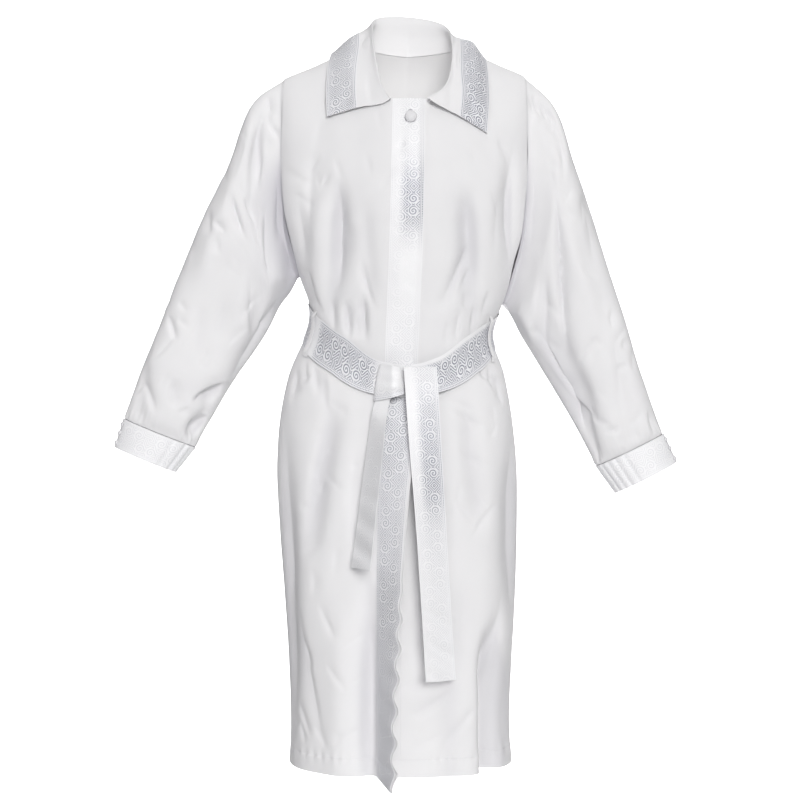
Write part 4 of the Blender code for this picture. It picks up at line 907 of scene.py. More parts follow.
def mesh_object(name, points, faces, build, sharp_angle=None):
    """Make one smooth object at the origin from points and faces, with the finish of build."""
    mesh = bpy.data.meshes.new(name)
    mesh.from_pydata(points.tolist(), [], faces)
    mesh.update()
    mesh.shade_smooth()
    if sharp_angle:
        mesh.set_sharp_from_angle(angle=math.radians(sharp_angle))
    mesh.materials.append(finish(build))
    made = bpy.data.objects.new(name, mesh)
    bpy.context.scene.collection.objects.link(made)
    return made


def mesh_piece(name, points, faces, build, sharp_angle=None):
    """Make one object that belongs to the kittel's body."""
    piece = mesh_object(name, points, faces, build, sharp_angle)
    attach(piece, "root")
    return piece


def shell(name, node, outer, inner, build, flat=None, loop=False, keep=None, **painted):
    """Make one closed shell between two grids of points, which stands for a node.

    Cells run between neighbouring rows and columns, a loop joins its last column to its first,
    cells outside the mask are left out, and every open edge gets a rim. Painted values, one to a
    grid point, become attributes of the same name.
    """
    rows, columns = outer.shape[:2]
    count = rows * columns
    index = np.arange(count).reshape(rows, columns)
    places = outer
    if loop:
        index, places = (np.concatenate([grid, grid[:, :1]], axis=1) for grid in (index, outer))
    flat = flat_map(places) if flat is None else flat
    if keep is None:
        keep = np.ones((rows - 1, index.shape[1] - 1), dtype=bool)

    def cells(numbers):
        corners = (numbers[:-1, :-1], numbers[:-1, 1:], numbers[1:, 1:], numbers[1:, :-1])
        return np.stack(corners, axis=-1)[keep]

    def edges(quads):
        return quads.T.ravel(), np.roll(quads, -1, axis=1).T.ravel()

    quads = cells(index)
    marks = cells(np.arange(index.size).reshape(index.shape))
    starts, ends = edges(quads)
    mark_starts, mark_ends = edges(marks)
    open_edge = ~np.isin(starts * count + ends, ends * count + starts)
    a, b = starts[open_edge], ends[open_edge]
    rim = np.stack([b, a, a + count, b + count], axis=-1)
    rim_marks = np.stack([mark_ends, mark_starts, mark_starts, mark_ends], axis=-1)[open_edge]
    faces = np.concatenate([quads, quads[:, ::-1] + count, rim])
    face_marks = np.concatenate([marks, marks[:, ::-1], rim_marks])
    points = np.concatenate([outer.reshape(-1, 3), inner.reshape(-1, 3)])
    first, second, third = (points[faces[:, k]] for k in (0, 1, 2))
    if np.sum(first * np.cross(second, third)) < 0.0:
        faces = faces[:, ::-1]
        face_marks = face_marks[:, ::-1]
    used = np.zeros(len(points), dtype=bool)
    used[faces] = True
    renumber = np.cumsum(used) - 1
    piece = mesh_piece(name, points[used], renumber[faces].tolist(), build, SHARP_ANGLE)
    layer = piece.data.uv_layers.new(name=FLAT_UV)
    layer.data.foreach_set("uv", flat.reshape(-1, 2)[face_marks].astype(np.float32).ravel())
    for title, values in painted.items():
        values = np.concatenate([(values + 0.0 * outer[..., 0]).ravel()] * 2)[used]
        attribute = piece.data.attributes.new(title, "FLOAT", "POINT")
        attribute.data.foreach_set("value", values.astype(np.float32))
    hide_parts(node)


def fold_shade(rise):
    """Give the shade in a fold of this depth."""
    return SHADE_FOLD * smooth_step(-rise / SHADE_DEPTH)


def seam_shade(points, seam):
    """Give the narrow shade along a seam, which fades toward the shoulder."""
    away = np.linalg.norm(points - seam, axis=-1)
    low = smooth_step(-seam[..., 2] / SEAM_LINE_FADE)
    return SEAM_LINE_SHADE * low * np.exp(-away / SEAM_LINE_REACH)


def body_shade(points, front, seams):
    """Give the shade of the body's cloth in its folds and along the armhole seams in it."""
    x, z = points[..., 0], points[..., 2]
    shade = fold_shade(crease_rise(BODY_CREASES, x, z, front) + fold_rise(x, z, front))
    for side, column in seams:
        seam = points[:, column][:, None]
        line = seam_shade(points, seam) * (seam[..., 2] > UNDERARM[side][1])
        shade = np.maximum(shade, line)
    return shade


def armhole(side, share):
    """Give x and z of the armhole seam from the underarm at 0 to the shoulder tip at 1."""
    under_x, under_z = UNDERARM[side]
    tip_x = TIP_X[side]
    x = between(under_x, tip_x, smooth_step(share / ARMHOLE_EASE))
    return x, between(under_z, shoulder_height(tip_x), (1.0 - np.cos(math.pi * share)) / 2.0)


def armhole_point(side, share, front):
    """Place the armhole seam on the body."""
    return on_body(*armhole(side, share), front)


def neckline(side, share, front):
    """Give x and z of the neckline from its middle at 0 to the side of the neck at 1."""
    side_x = np.where(np.asarray(side) == "left", NECK_SIDE_X["left"], NECK_SIDE_X["right"])
    middle_z = np.where(front, NECK_FRONT_Z, NECK_BACK_Z)
    turn = share * math.pi / 2.0
    x = between(NECK_CENTRE_X, side_x, np.sin(turn))
    return x, between(shoulder_height(side_x), middle_z, np.cos(turn))


def collar_end_share(side):
    """Find where on the front neckline the collar ends."""
    share = (COLLAR_END_X[side] - NECK_CENTRE_X) / (NECK_SIDE_X[side] - NECK_CENTRE_X)
    return math.asin(share) * 2.0 / math.pi


def lap_share(x):
    """Give the share of the lap's spacing over x, which fades out beside the lap."""
    return 1.0 - smooth_step((np.abs(x) - LAP_FULL) / LAP_FADE)


def band_share(x, z):
    """Give the share of the way across the front band, from its inner edge at 0 to its free edge."""
    edge, inner, _ = along(BAND_ROWS, z)
    return (x - inner) / (edge - inner)


def hem_rows(side):
    """Spread the rows from the hem to the underarm, close together at the hem's stitching."""
    under_z = UNDERARM[side][1]
    drop = np.concatenate([HEM_PLACES, np.arange(HEM_PLACES[-1], under_z - HEM_HEIGHT, ROW_STEP)[1:]])
    drop = drop[drop < under_z - HEM_HEIGHT - ROW_STEP / 2.0]
    return HEM_HEIGHT + np.append(drop, under_z - HEM_HEIGHT)


def front_grid(side):
    """Work out one front: band columns at its edge, then out to the side.

    Rows run from the hem to the underarm, up to the front of the neck, then up the neckline.
    Returns the points, their heights before they are lifted, and the mask of cloth cells.
    """
    over = side == "left"
    under_z = UNDERARM[side][1]
    sign = SIGN[side]
    end = collar_end_share(side)
    end_z = float(neckline(side, end, True)[1])
    low_z = hem_rows(side)
    chest = shares(CHEST_ROWS)[1:]
    climb = shares(NECK_ROWS)[1:]
    share = np.concatenate([0.0 * low_z, chest * CHEST_SHARE, between(CHEST_SHARE, 1.0, climb)])
    low = np.arange(len(share)) < len(low_z)
    high = np.arange(len(share)) >= len(low_z) + CHEST_ROWS
    arm_x, arm_z = armhole(side, share)
    z_in = np.concatenate([low_z, between(under_z, end_z, chest), 0.0 * climb])
    neck_climb = np.concatenate([0.0 * low_z, 0.0 * chest, climb])
    neck_x, neck_z = neckline(side, between(end, 1.0, neck_climb), True)
    z_in = np.where(high, neck_z, z_in)
    x_out = np.where(low, sign * half_width(sign, z_in), arm_x)
    z_out = np.where(low, z_in, arm_z)
    edge, inner, _ = along(BAND_ROWS, z_in)
    edge = edge + BAND_MARGIN if over else inner - UNDER_LAP
    x_edge = np.where(high, neck_x - sign * RIBBON_WIDTH, edge)[:, None]
    x_in = np.where(high, neck_x, inner if over else COLLAR_END_X[side])[:, None]
    x_out, z_in, z_out = x_out[:, None], z_in[:, None], z_out[:, None]
    half = half_width(sign, z_out)
    theta = between(section_angle(x_in, half), section_angle(x_out, half), shares(FRONT_COLUMNS))
    x = sign * half * np.sin(theta) ** (2.0 / SECTION_POWER)
    z = z_in + (z_out - z_in) * (x - x_in) / (x_out - x_in)
    lap = shares(BAND_CELLS)[:-1]
    x = np.concatenate([between(x_edge, x_in, lap), x], axis=1)
    z = np.concatenate([z_in + 0.0 * lap, z], axis=1)
    points = on_body(x, z, True, fine=True)
    points[..., 1] += sign * LAP_APART * lap_share(x)
    if over:
        points += band_shape(x, z)
    keep = np.ones((x.shape[0] - 1, x.shape[1] - 1), dtype=bool)
    keep[high[1:], :BAND_CELLS] = False
    return points, z, keep


def band_shape(x, z):
    """Curl the free edge of the upper front forward, wave it low down and press it flat high up."""
    share = np.maximum(band_share(x, z), 0.0)
    drop = smooth_step((HEM_HEIGHT + BAND_DIP_REACH - z) / BAND_DIP_REACH)
    wave = smooth_step((WAVE_TOP - z) / WAVE_FADE) * share ** 2
    swing = ROUND * z / WAVE_LENGTH
    press = smooth_step((share - EDGE_PRESS_FROM) / (1.0 - EDGE_PRESS_FROM))
    press = press * smooth_step((z - EDGE_PRESS_TOP) / EDGE_PRESS_FADE)
    curl = along(BAND_ROWS, z)[2] * share ** BAND_CURL
    forward = WAVE_FORWARD * wave * np.sin(swing + WAVE_TURN) - curl
    down = BAND_DIP * np.minimum(share, 1.0) * drop
    return np.stack([WAVE_SIDE * wave * np.sin(swing), forward + EDGE_PRESS * press, -down], axis=-1)


def away_from_middle(points, middle):
    """Give the directions square to x from a middle out to points."""
    spokes = points - middle
    spokes[:, 0] = 0.0
    return unit(spokes)


def seam_edges(points, normals, side, front, low):
    """Set the seams' own directions: the side seam up to row low, then the armhole."""
    sign = SIGN[side]
    facing = 1.0 if front else -1.0
    middle = (armhole_point(side, 0.0, front) + armhole_point(side, 1.0, front)) / 2.0
    normals[:low, -1] = (sign, 0.0, 0.0)
    points[:low, -1, 1] = -facing * SEAM_GAP / 2.0
    normals[low:, -1] = away_from_middle(points[low:, -1], middle)
    points[low:, -1, 0] -= sign * SEAM_GAP / 2.0
    points[low:, -1, 1] = -facing * np.maximum(np.abs(points[low:, -1, 1]), SEAM_GAP / 2.0)


def top_normal(sign):
    """Give the direction straight out of the shoulder line on one side."""
    size = math.hypot(SHOULDER_SLOPE, 1.0)
    return (sign * SHOULDER_SLOPE / size, 0.0, 1.0 / size)


def hemmed(points, normals, z):
    """Give both faces of a panel, thick at its turned hem and drawn in along the hem's stitching."""
    up = z - HEM_HEIGHT - HEM_DEPTH
    turned = HEM_THICK * (1.0 - smooth_step(up / HEM_EASE)) - HEM_GROOVE * bell(up / HEM_GROOVE_WIDTH)
    pucker = HEM_PUCKER * bell(up / HEM_PUCKER_WIDTH)
    wave = np.sin(ROUND * points[..., 0] / PUCKER_LENGTH)
    outer = points + normals * (turned + pucker * wave)[..., None]
    wall = chosen("cloth_wall") + 2.0 * np.maximum(turned, 0.0)
    return outer, outer - normals * wall[..., None]


def front_surface(side):
    """Work out both faces of one front, its normals and the mask of its cells."""
    points, z, keep = front_grid(side)
    normals = grid_normals(points) * SIGN[side]
    seam_edges(points, normals, side, True, len(hem_rows(side)) - 1)
    normals[-1, BAND_CELLS:-1] = top_normal(SIGN[side])
    points[-1, BAND_CELLS:, 1] = -SEAM_GAP / 2.0
    return *hemmed(points, normals, z), normals, keep


def back_grid():
    """Work out the back: rows from the hem to the underarm, then up to the neck and shoulders."""
    left = np.linspace(TIP_X["left"], NECK_SIDE_X["left"], BACK_SIDE_COLUMNS + 1)
    right = np.linspace(NECK_SIDE_X["right"], TIP_X["right"], BACK_SIDE_COLUMNS + 1)
    turn = np.linspace(-1.0, 1.0, BACK_NECK_COLUMNS + 1)
    neck_x, neck_z = neckline(np.where(turn < 0, "left", "right"), np.abs(turn), False)
    x_top = np.concatenate([left, neck_x[1:-1], right])
    z_top = np.concatenate([shoulder_height(left), neck_z[1:-1], shoulder_height(right)])
    share = np.where(x_top < 0, -x_top / TIP_X["left"], x_top / TIP_X["right"])
    side_share = (share + 1.0) / 2.0
    lows = [hem_rows(side) for side in ("left", "right")]
    place = np.linspace(0.0, 1.0, max(len(low) for low in lows))
    low_left, low_right = (np.interp(place, shares(len(low) - 1), low)[:, None] for low in lows)
    climb = 1.0 - (1.0 - shares(BACK_ROWS)[1:, None]) ** TOP_CROWDING
    z_under = between(UNDERARM["left"][1], UNDERARM["right"][1], side_share)
    swing = (1.0 - np.cos(math.pi * climb)) / 2.0
    edge = np.abs(share) ** BACK_EDGE_POWER
    high_z = between(z_under, z_top, between(climb, swing, edge))
    z = np.concatenate([between(low_left, low_right, side_share), high_z])
    climb = np.concatenate([np.zeros((len(place), 1)), climb])
    arm = np.where(x_top < 0, -armhole("left", climb)[0], armhole("right", climb)[0])
    outer = np.where(np.arange(len(z))[:, None] < len(place), half_width(x_top, z), arm)
    even = bent(np.sin(share * math.pi / 2.0), 2.0 / SECTION_POWER)
    x = between(share, even, 1.0 - smooth_step(climb * BACK_EVEN_SPEED)) * outer
    return on_body(x, z, False, fine=True), z, climb[:, 0], len(place) - 1


def back_surface():
    """Work out both faces of the back, its normals and how far up each row lies."""
    points, z, climb, low = back_grid()
    normals = -grid_normals(points)
    seam_edges(points[:, ::-1], normals[:, ::-1], "left", False, low)
    seam_edges(points, normals, "right", False, low)
    last = BACK_SIDE_COLUMNS
    normals[-1, 1:last + 1] = top_normal(-1.0)
    normals[-1, -last - 1:-1] = top_normal(1.0)
    points[-1, :last + 1, 1] = SEAM_GAP / 2.0
    points[-1, -last - 1:, 1] = SEAM_GAP / 2.0
    return *hemmed(points, normals, z), normals, climb


def sleeve_turns():
    """Step once round a sleeve: 0 is its outer line, 0.25 the front, 0.5 the inner line."""
    return np.arange(SLEEVE_TURNS) / SLEEVE_TURNS


def arm_rings(top_x, top_z, low_x, low_z, depth, middle, turn, square=0.0):
    """Place rings between an outer and an inner line.

    Each ring is an ellipse in x and z between the two lines, and in y by its depth. Squared, it
    goes by |cos|^(2/n) and |sin|^(2/n), with n rising above 2.
    """
    cosine = bent(np.cos(turn * ROUND), 2.0 / (2.0 + square))
    sine = bent(np.sin(turn * ROUND), 2.0 / (2.0 + square))
    x = (top_x + low_x) / 2.0 + (top_x - low_x) / 2.0 * cosine
    z = (top_z + low_z) / 2.0 + (top_z - low_z) / 2.0 * cosine
    return np.stack([x, middle - depth * sine, z], axis=-1)


def sleeve_folds(side, turn, t):
    """Add up the large folds of a sleeve: bells across its turn, faded at both ends."""
    total = np.zeros(np.broadcast(turn, t).shape)
    for turn_start, t_start, turn_end, t_end, width, rise in SLEEVE_FOLDS[side]:
        run = (t - t_start) / (t_end - t_start)
        away = turns_apart(turn, between(turn_start, turn_end, run))
        total = total + rise * faded(run, FOLD_FADE_IN, FOLD_FADE_OUT) * bell(away / width)
    return total


def gathers(side, turn, t):
    """Gather the sleeve into its cuff: uneven narrow ridges that die out up the arm."""
    draw = np.random.default_rng(SLEEVE_SEED[side])
    total = np.zeros(np.broadcast(turn, t).shape)
    for place in np.arange(GATHER_COUNT) / GATHER_COUNT:
        place = place + draw.uniform(-GATHER_SHIFT, GATHER_SHIFT) / GATHER_COUNT
        reach = draw.uniform(*GATHER_LENGTHS) * GATHER_REACH
        rise = draw.uniform(*GATHER_HEIGHTS) * GATHER_RISE
        fade = smooth_step(1.0 - (1.0 - t) / reach)
        total = total + rise * fade * bell(turns_apart(turn, place) / GATHER_WIDTH)
    return total


def hollow(side, turn, points):
    """Draw the sleeve in along the armhole, most of all on both faces above the underarm."""
    away = np.abs(turn - 0.5)
    where = smooth_step((HOLLOW_SPAN - away) / HOLLOW_EASE) * smooth_step(away / HOLLOW_EASE)
    off = np.linalg.norm(points - points[0], axis=-1)
    across = np.exp(-off / HOLLOW_REACH) * smooth_step(off / HOLLOW_START)
    return (HOLLOW_LEAST + HOLLOWS[side] * where) * across


def sleeve_grid(side):
    """Work out the rings of a sleeve from the armhole seam to the cuff."""
    turn = sleeve_turns()
    t = shares(SLEEVE_RINGS)[:, None]
    square = SLEEVE_SQUARE * faded(t, SLEEVE_EASE, SLEEVE_EASE)
    points = arm_rings(*along(SLEEVES[side], t), turn, square)
    share = 1.0 - np.minimum(turn, 1.0 - turn) * 2.0
    seam = armhole_point(side, share, turn < 0.5)
    points = points + (seam - points[0]) * (1.0 - smooth_step(t / SLEEVE_HEAD))[..., None]
    fold = sleeve_folds(side, turn, t) + hollow(side, turn, points)
    points = points + outward_normals(points) * fold[..., None]
    sine = np.sin(turn * ROUND)
    x, z = points[..., 0], points[..., 2]
    creases = with_loose(SLEEVE_CREASES[side], (side, side))
    detail = SLEEVE_CREASE_DEPTH * crease_rise(creases, x, z, sine >= 0.0)
    detail = detail + ripple(x, z, sine >= 0.0, SLEEVE_SEED[side])
    detail = detail * smooth_step(np.abs(sine) / SIDE_CALM) + gathers(side, turn, t)
    detail = detail * faded(t, HEAD_CALM, CUFF_CALM)
    points = points + outward_normals(points) * detail[..., None]
    normals = outward_normals(points)
    normals[0] = away_from_middle(seam, (seam[0] + seam[SLEEVE_TURNS // 2]) / 2.0)
    points[0, :, 0] += SIGN[side] * SEAM_GAP / 2.0
    return points, normals


def sleeve_shade(side, points):
    """Give the shade of a sleeve in its folds, along its seam and beside the underarm."""
    turn = sleeve_turns()
    front = np.sin(turn * ROUND) >= 0.0
    shade = fold_shade(crease_rise(SLEEVE_CREASES[side], points[..., 0], points[..., 2], front))
    away = np.linalg.norm(points - points[0], axis=-1)
    low = smooth_step((UNDERARM_SPAN - np.abs(turn - 0.5)) / UNDERARM_EASE)
    hollow_shade = UNDERARM_SHADE[side] * low * np.exp(-away / UNDERARM_REACH[side])
    return np.maximum(np.maximum(shade, hollow_shade), seam_shade(points, points[0]))


def cuff_grid(side):
    """Work out the rings of a cuff below the sleeve's last ring: a straight band of ellipses."""
    start = np.array(SLEEVES[side][-1][1:])
    end = np.array(CUFF_ENDS[side])
    turn = sleeve_turns()
    values = between(start, end, shares(CUFF_RINGS)[:, None]).T[..., None]
    points = arm_rings(*values, turn)
    normals = outward_normals(points)
    arm = unit((end[[0, 1]] + end[[2, 3]] - start[[0, 1]] - start[[2, 3]]) / 2.0)
    points[0, :, 0] += arm[0] * CUFF_SEAM_GAP
    points[0, :, 2] += arm[1] * CUFF_SEAM_GAP
    rise = np.full(SLEEVE_TURNS, CUFF_EASE)
    for place, width, height in CUFF_PLEATS[side]:
        rise = rise + height * bell(turns_apart(turn, place) / width)
    past = turn - CUFF_OPENING_TURN
    rise = rise + CUFF_OPENING_STEP * np.exp(-np.maximum(past, 0.0) / CUFF_OPENING_REACH) * (past > 0.0)
    points = points + normals * rise[None, :, None]
    return points, outward_normals(points)


def clear_of_body(points, gap):
    """Lift points that lie inside the body, or closer than the gap, up or outward."""
    x, y, z = points[..., 0], points[..., 1], points[..., 2]
    front = y < 0.0
    short_y = np.abs(on_body(x, z, front)[..., 1]) + gap - np.abs(y)
    plan = 1.0 - np.clip(np.abs(x) / half_width(x, z), 0.0, NEARLY_FULL) ** SECTION_POWER
    full = face_depth(z, front) * plan ** (1.0 / SECTION_POWER)
    share = np.clip(np.abs(y) / full, 0.0, 1.0)
    reach, power = crown_curve(front)
    top = shoulder_height(x) - reach * (1.0 - (1.0 - share ** power) ** (1.0 / power))
    short_z = top + gap - z
    inside = (short_y > 0.0) & (short_z > 0.0)
    upward = inside & (short_z < short_y)
    moved = points.copy()
    moved[..., 2] += np.where(upward, short_z, 0.0)
    moved[..., 1] += np.where(inside & ~upward, np.where(front, -short_y, short_y), 0.0)
    return moved


def collar_grid():
    """Draw the collar's sections from its seam over the roll to the outer edge.

    Each section is a smooth path through seven stops, and its last rows lie at set distances
    from the edge, so that the ribbon shares them.
    """
    turn = np.linspace(-1.0, 1.0, COLLAR_STEPS + 1)
    left = turn < 0.0
    front = np.abs(turn) > 0.5
    end = np.where(left, collar_end_share("left"), collar_end_share("right"))
    share = np.where(front, end + (1.0 - end) * (1.0 - np.abs(turn)) / 0.5, np.abs(turn) / 0.5)
    x, z = neckline(np.where(left, "left", "right"), share, front)
    seam = on_body(x, z, front)
    seam[:, 1] += np.where(front, np.where(left, -LAP_APART, LAP_APART) * lap_share(x), 0.0)
    seam[:, 2] += COLLAR_SEAM_GAP
    read = along(COLLAR_STATIONS, turn).T
    roll, edge, bulge = read[:, :3], read[:, 3:6], read[:, 6:]
    out = unit((edge - seam) * (1.0, 1.0, 0.0))
    rise = np.array([0.0, 0.0, 1.0])
    ending = smooth_step((np.abs(turn) - ROLL_TAPER_TURN) / (1.0 - ROLL_TAPER_TURN))
    radius = (ROLL_RADIUS * (1.0 - ROLL_END_TAPER * ending))[:, None]
    before = roll - out * radius * ROLL_INNER - rise * radius
    after = roll + out * radius * ROLL_OUTER - rise * radius * ROLL_OUTER_DROP
    belly = (after + edge) / 2.0 + (out * BELLY_OUT + rise * BELLY_UP) * bulge
    stops = np.stack([seam, (seam + before) / 2.0, before, roll, after, belly, edge], axis=1)
    places = lengths(stops, 1)
    at_roll, past_roll, last = places[:, 3:4], places[:, 4:5], places[:, -1:]
    width = np.minimum(RIBBON_WIDTH, last - past_roll - 2.0 * ROLL_RADIUS)
    edge_rows = last - width * np.linspace(1.0, 0.0, RIBBON_CELLS + 1)
    stand = past_roll * shares(COLLAR_STAND_CELLS)[:-1]
    leaf = between(past_roll, edge_rows[:, :1], shares(COLLAR_LEAF_CELLS)[:-1])
    wanted = np.concatenate([stand, leaf, edge_rows], axis=1)
    section = path_rows(places, stops, wanted)
    falling = wanted >= at_roll
    gap = between(ROLL_CLEARANCE, COLLAR_CLEARANCE, smooth_step((wanted - past_roll) / CLEAR_EASE))
    push = np.where(falling[..., None], clear_of_body(section, gap) - section, 0.0)
    for _ in range(CLEAR_ROUNDS):
        wide = np.pad(push, ((1, 1), (1, 1), (0, 0)), mode="edge")
        push = (wide[:-2, 1:-1] + wide[2:, 1:-1] + wide[1:-1, :-2] + wide[1:-1, 2:]) / 4.0
    section = section + push * smooth_step((wanted - at_roll) / CLEAR_EASE)[..., None]
    points = np.transpose(section, (1, 0, 2))
    x, y, z = points[..., 0], points[..., 1], points[..., 2]
    detail = COLLAR_CREASE_DEPTH * crease_rise(COLLAR_CREASES, x, z, y < COLLAR_FRONT_Y) * falling.T
    points = points + grid_normals(points) * detail[..., None]
    return points, grid_normals(points)


def ribbon_map(points, across):
    """Place a ribbon's points on the flat ribbon: its width by shares, its length by its middle."""
    count = points.shape[across]
    share = np.linspace(0.0, RIBBON_WIDTH, count)
    share = share[:, None] if across == 0 else share[None, :]
    run = lengths(np.take(points, [count // 2], axis=across), 1 - across)
    return np.stack([share + 0.0 * run, run + 0.0 * share], axis=-1)


def silver_over(table, z, share):
    """Read how strongly the pattern shows at a height and a share across, left to right."""
    # The value read is the pattern's strength together with the ground's painted shade and sheen
    return between(*along(table, z), smooth_step((share - SILVER_SPLIT) / SILVER_EASE))


def ribbon(name, node, points, normals, across, silver):
    """Make a hanging or tied ribbon whose outer face lies on a grid of points."""
    inner = points - normals * chosen("ribbon_wall")
    shell(name, node, points, inner, satin_ribbon, flat=ribbon_map(points, across), silver=silver)


def laid_ribbon(name, node, cloth, normals, across, silver):
    """Make a ribbon whose inner face lies just off a grid of the cloth's points."""
    base = cloth + normals * LAY_GAP
    outer = base + normals * chosen("ribbon_wall")
    shell(name, node, outer, base, satin_ribbon, flat=ribbon_map(cloth, across), silver=silver)


def belt_band():
    """Run the belt round the waist, from beside the knot round the back to the knot.

    Its middle follows the belt line over the body, and its width stands square to that line.
    """
    ends = np.array([BELT_START_X, BELT_END_X])
    start, end = np.sign(ends) * section_angle(ends, half_width(ends, KNOT_PLACE[2]))
    theta = np.linspace(start, end + ROUND, BELT_STEPS + 1)
    theta = np.where(theta > math.pi, theta - ROUND, theta)
    middle = body_point(theta, belt_height(theta))
    run = np.gradient(middle, axis=0)
    slant = np.linalg.norm(run, axis=1) / np.hypot(run[:, 0], run[:, 1])
    share = np.linspace(-0.5, 0.5, RIBBON_CELLS + 1)[:, None]
    z = belt_height(theta) + share * RIBBON_WIDTH * slant
    x = middle[:, 0]
    lift = BELT_LIFT * between(BELT_SIDE, 1.0, np.abs(np.cos(theta))) + BELT_LAP_LIFT * lap_share(x)
    inner = body_point(theta, z, lift)
    outer = body_point(theta, z, lift + chosen("ribbon_wall"))
    front = np.cos(theta) > 0.0
    # Pattern strength and painted shade of the ground: full in front and less behind, lowered beside the
    # knot as a painted sheen, and cleared on the turned upper edge right of the knot as a painted highlight
    silver = np.where(front, 1.0, BACK_SILVER_AND_SHADE)
    silver = silver * (1.0 - bell((x - BELT_PLAIN_X) / BELT_PLAIN_HALF, BELT_PLAIN_POWER) * front)
    near_knot = smooth_step((x - BELT_FADE_X) / BELT_FADE_EASE) * (x < BELT_START_X) * front
    silver = silver * (1.0 - BELT_FADE_SHARE * near_knot)
    turned = smooth_step((share - BELT_TURNED_FROM) / BELT_TURNED_EASE) * (x > BELT_START_X) * front
    shell("belt_band", "belt", outer, inner, satin_ribbon, flat=ribbon_map(outer, 0),
          silver=silver * (1.0 - turned))


def belt_loop(name, node, degrees):
    """Bridge the belt with one narrow loop of cloth at a side."""
    theta = math.radians(degrees) + np.linspace(-0.5, 0.5, LOOP_CELLS + 1) * LOOP_WIDTH / LOOP_RADIUS
    share = np.linspace(-1.0, 1.0, LOOP_ROWS + 1)[:, None]
    z = belt_height(math.radians(degrees)) + share * LOOP_HEIGHT / 2.0
    lift = between(LOOP_FOOT, LOOP_LIFT, smooth_step((1.0 - np.abs(share)) / LOOP_TURN))
    inner = body_point(theta, z, lift)
    outer = body_point(theta, z, lift + chosen("cloth_wall"))
    shell(name, node, outer, inner, white_cotton)


def tail(name, node, table, silver_rows, wave_from):
    """Hang a ribbon along the rows of a table, with soft slanting waves in its lower part."""
    numbered = [(place,) + row for place, row in zip(shares(len(table) - 1), table)]
    z, x, half, y, turn = along(numbered, shares(TAIL_ROWS)[:, None])
    share = np.linspace(-1.0, 1.0, RIBBON_CELLS + 1)
    x = x + half * share
    z = z + 0.0 * share
    swing = ROUND * (z + TAIL_WAVE_SLANT * x) / TAIL_WAVE
    wave = TAIL_WAVE_RISE * smooth_step((wave_from - z) / TAIL_WAVE_FADE) * np.sin(swing)
    points = np.stack([x, y + turn * share + wave, z], axis=-1)
    normals = grid_normals(points)
    normals = normals * np.where(np.sum(normals[..., 1]) > 0.0, -1.0, 1.0)
    # Pattern strength and painted shade and sheen of the ribbon's ground, by place from the table
    silver = silver_over(silver_rows, z, (share + 1.0) / 2.0)
    ribbon(name, node, points, normals, 1, silver)


def knot_wrap():
    """Wrap the knot's turn of ribbon round the belt's crossing: an open ellipse, pinched at its ends.

    Its creases follow sin(share * count + turn * slant). It narrows upward and toward +x, and sinks
    back toward the belt at -x.
    """
    turn = np.radians(np.linspace(KNOT_OPEN_START, KNOT_OPEN_END, KNOT_STEPS + 1))
    share = np.linspace(-1.0, 1.0, KNOT_ROWS + 1)[:, None]
    pinch = 1.0 - KNOT_PINCH * share ** 2 - KNOT_SPREAD * share
    crease = 1.0
    for size, count, slant in KNOT_CREASES:
        crease = crease + size * np.sin(share * count + turn * slant)
    leftward = smooth_step(-np.cos(turn))
    wide = 1.0 + KNOT_LEFT_SPREAD * leftward
    x = KNOT_PLACE[0] + KNOT_HALF_WIDTH * np.cos(turn) * pinch * wide
    y = KNOT_PLACE[1] - KNOT_HALF_DEPTH * np.sin(turn) * pinch * crease + KNOT_SINK * leftward
    z = KNOT_PLACE[2] + share * (KNOT_HALF_HEIGHT - KNOT_TAPER * (x - KNOT_PLACE[0]) / wide)
    points = np.stack([x, y, z], axis=-1)
    normals = grid_normals(points)
    if np.sum(normals * (points - np.array(KNOT_PLACE))) < 0.0:
        normals = -normals
    # Painted shade and sheen: the ground is lighter toward the top of the knot and darker toward its bottom
    silver = between(KNOT_SILVER_AND_SHADE_LOW, KNOT_SILVER_AND_SHADE_TOP, smooth_step((share + 1.0) * KNOT_SILVER_SPEED))
    ribbon("knot_wrap", "belt_knot", points, normals, 0, silver)


def ring_quads(index):
    """Join neighbouring closed rings of point numbers."""
    beside = np.roll(index, -1, axis=1)
    return np.stack([index[:-1], beside[:-1], beside[1:], index[1:]], axis=-1).reshape(-1, 4)


def button_frame(outward):
    """Give the right and up directions square to the way a button faces."""
    right = unit(np.cross([0.0, 0.0, 1.0], outward))
    return right, np.cross(outward, right)


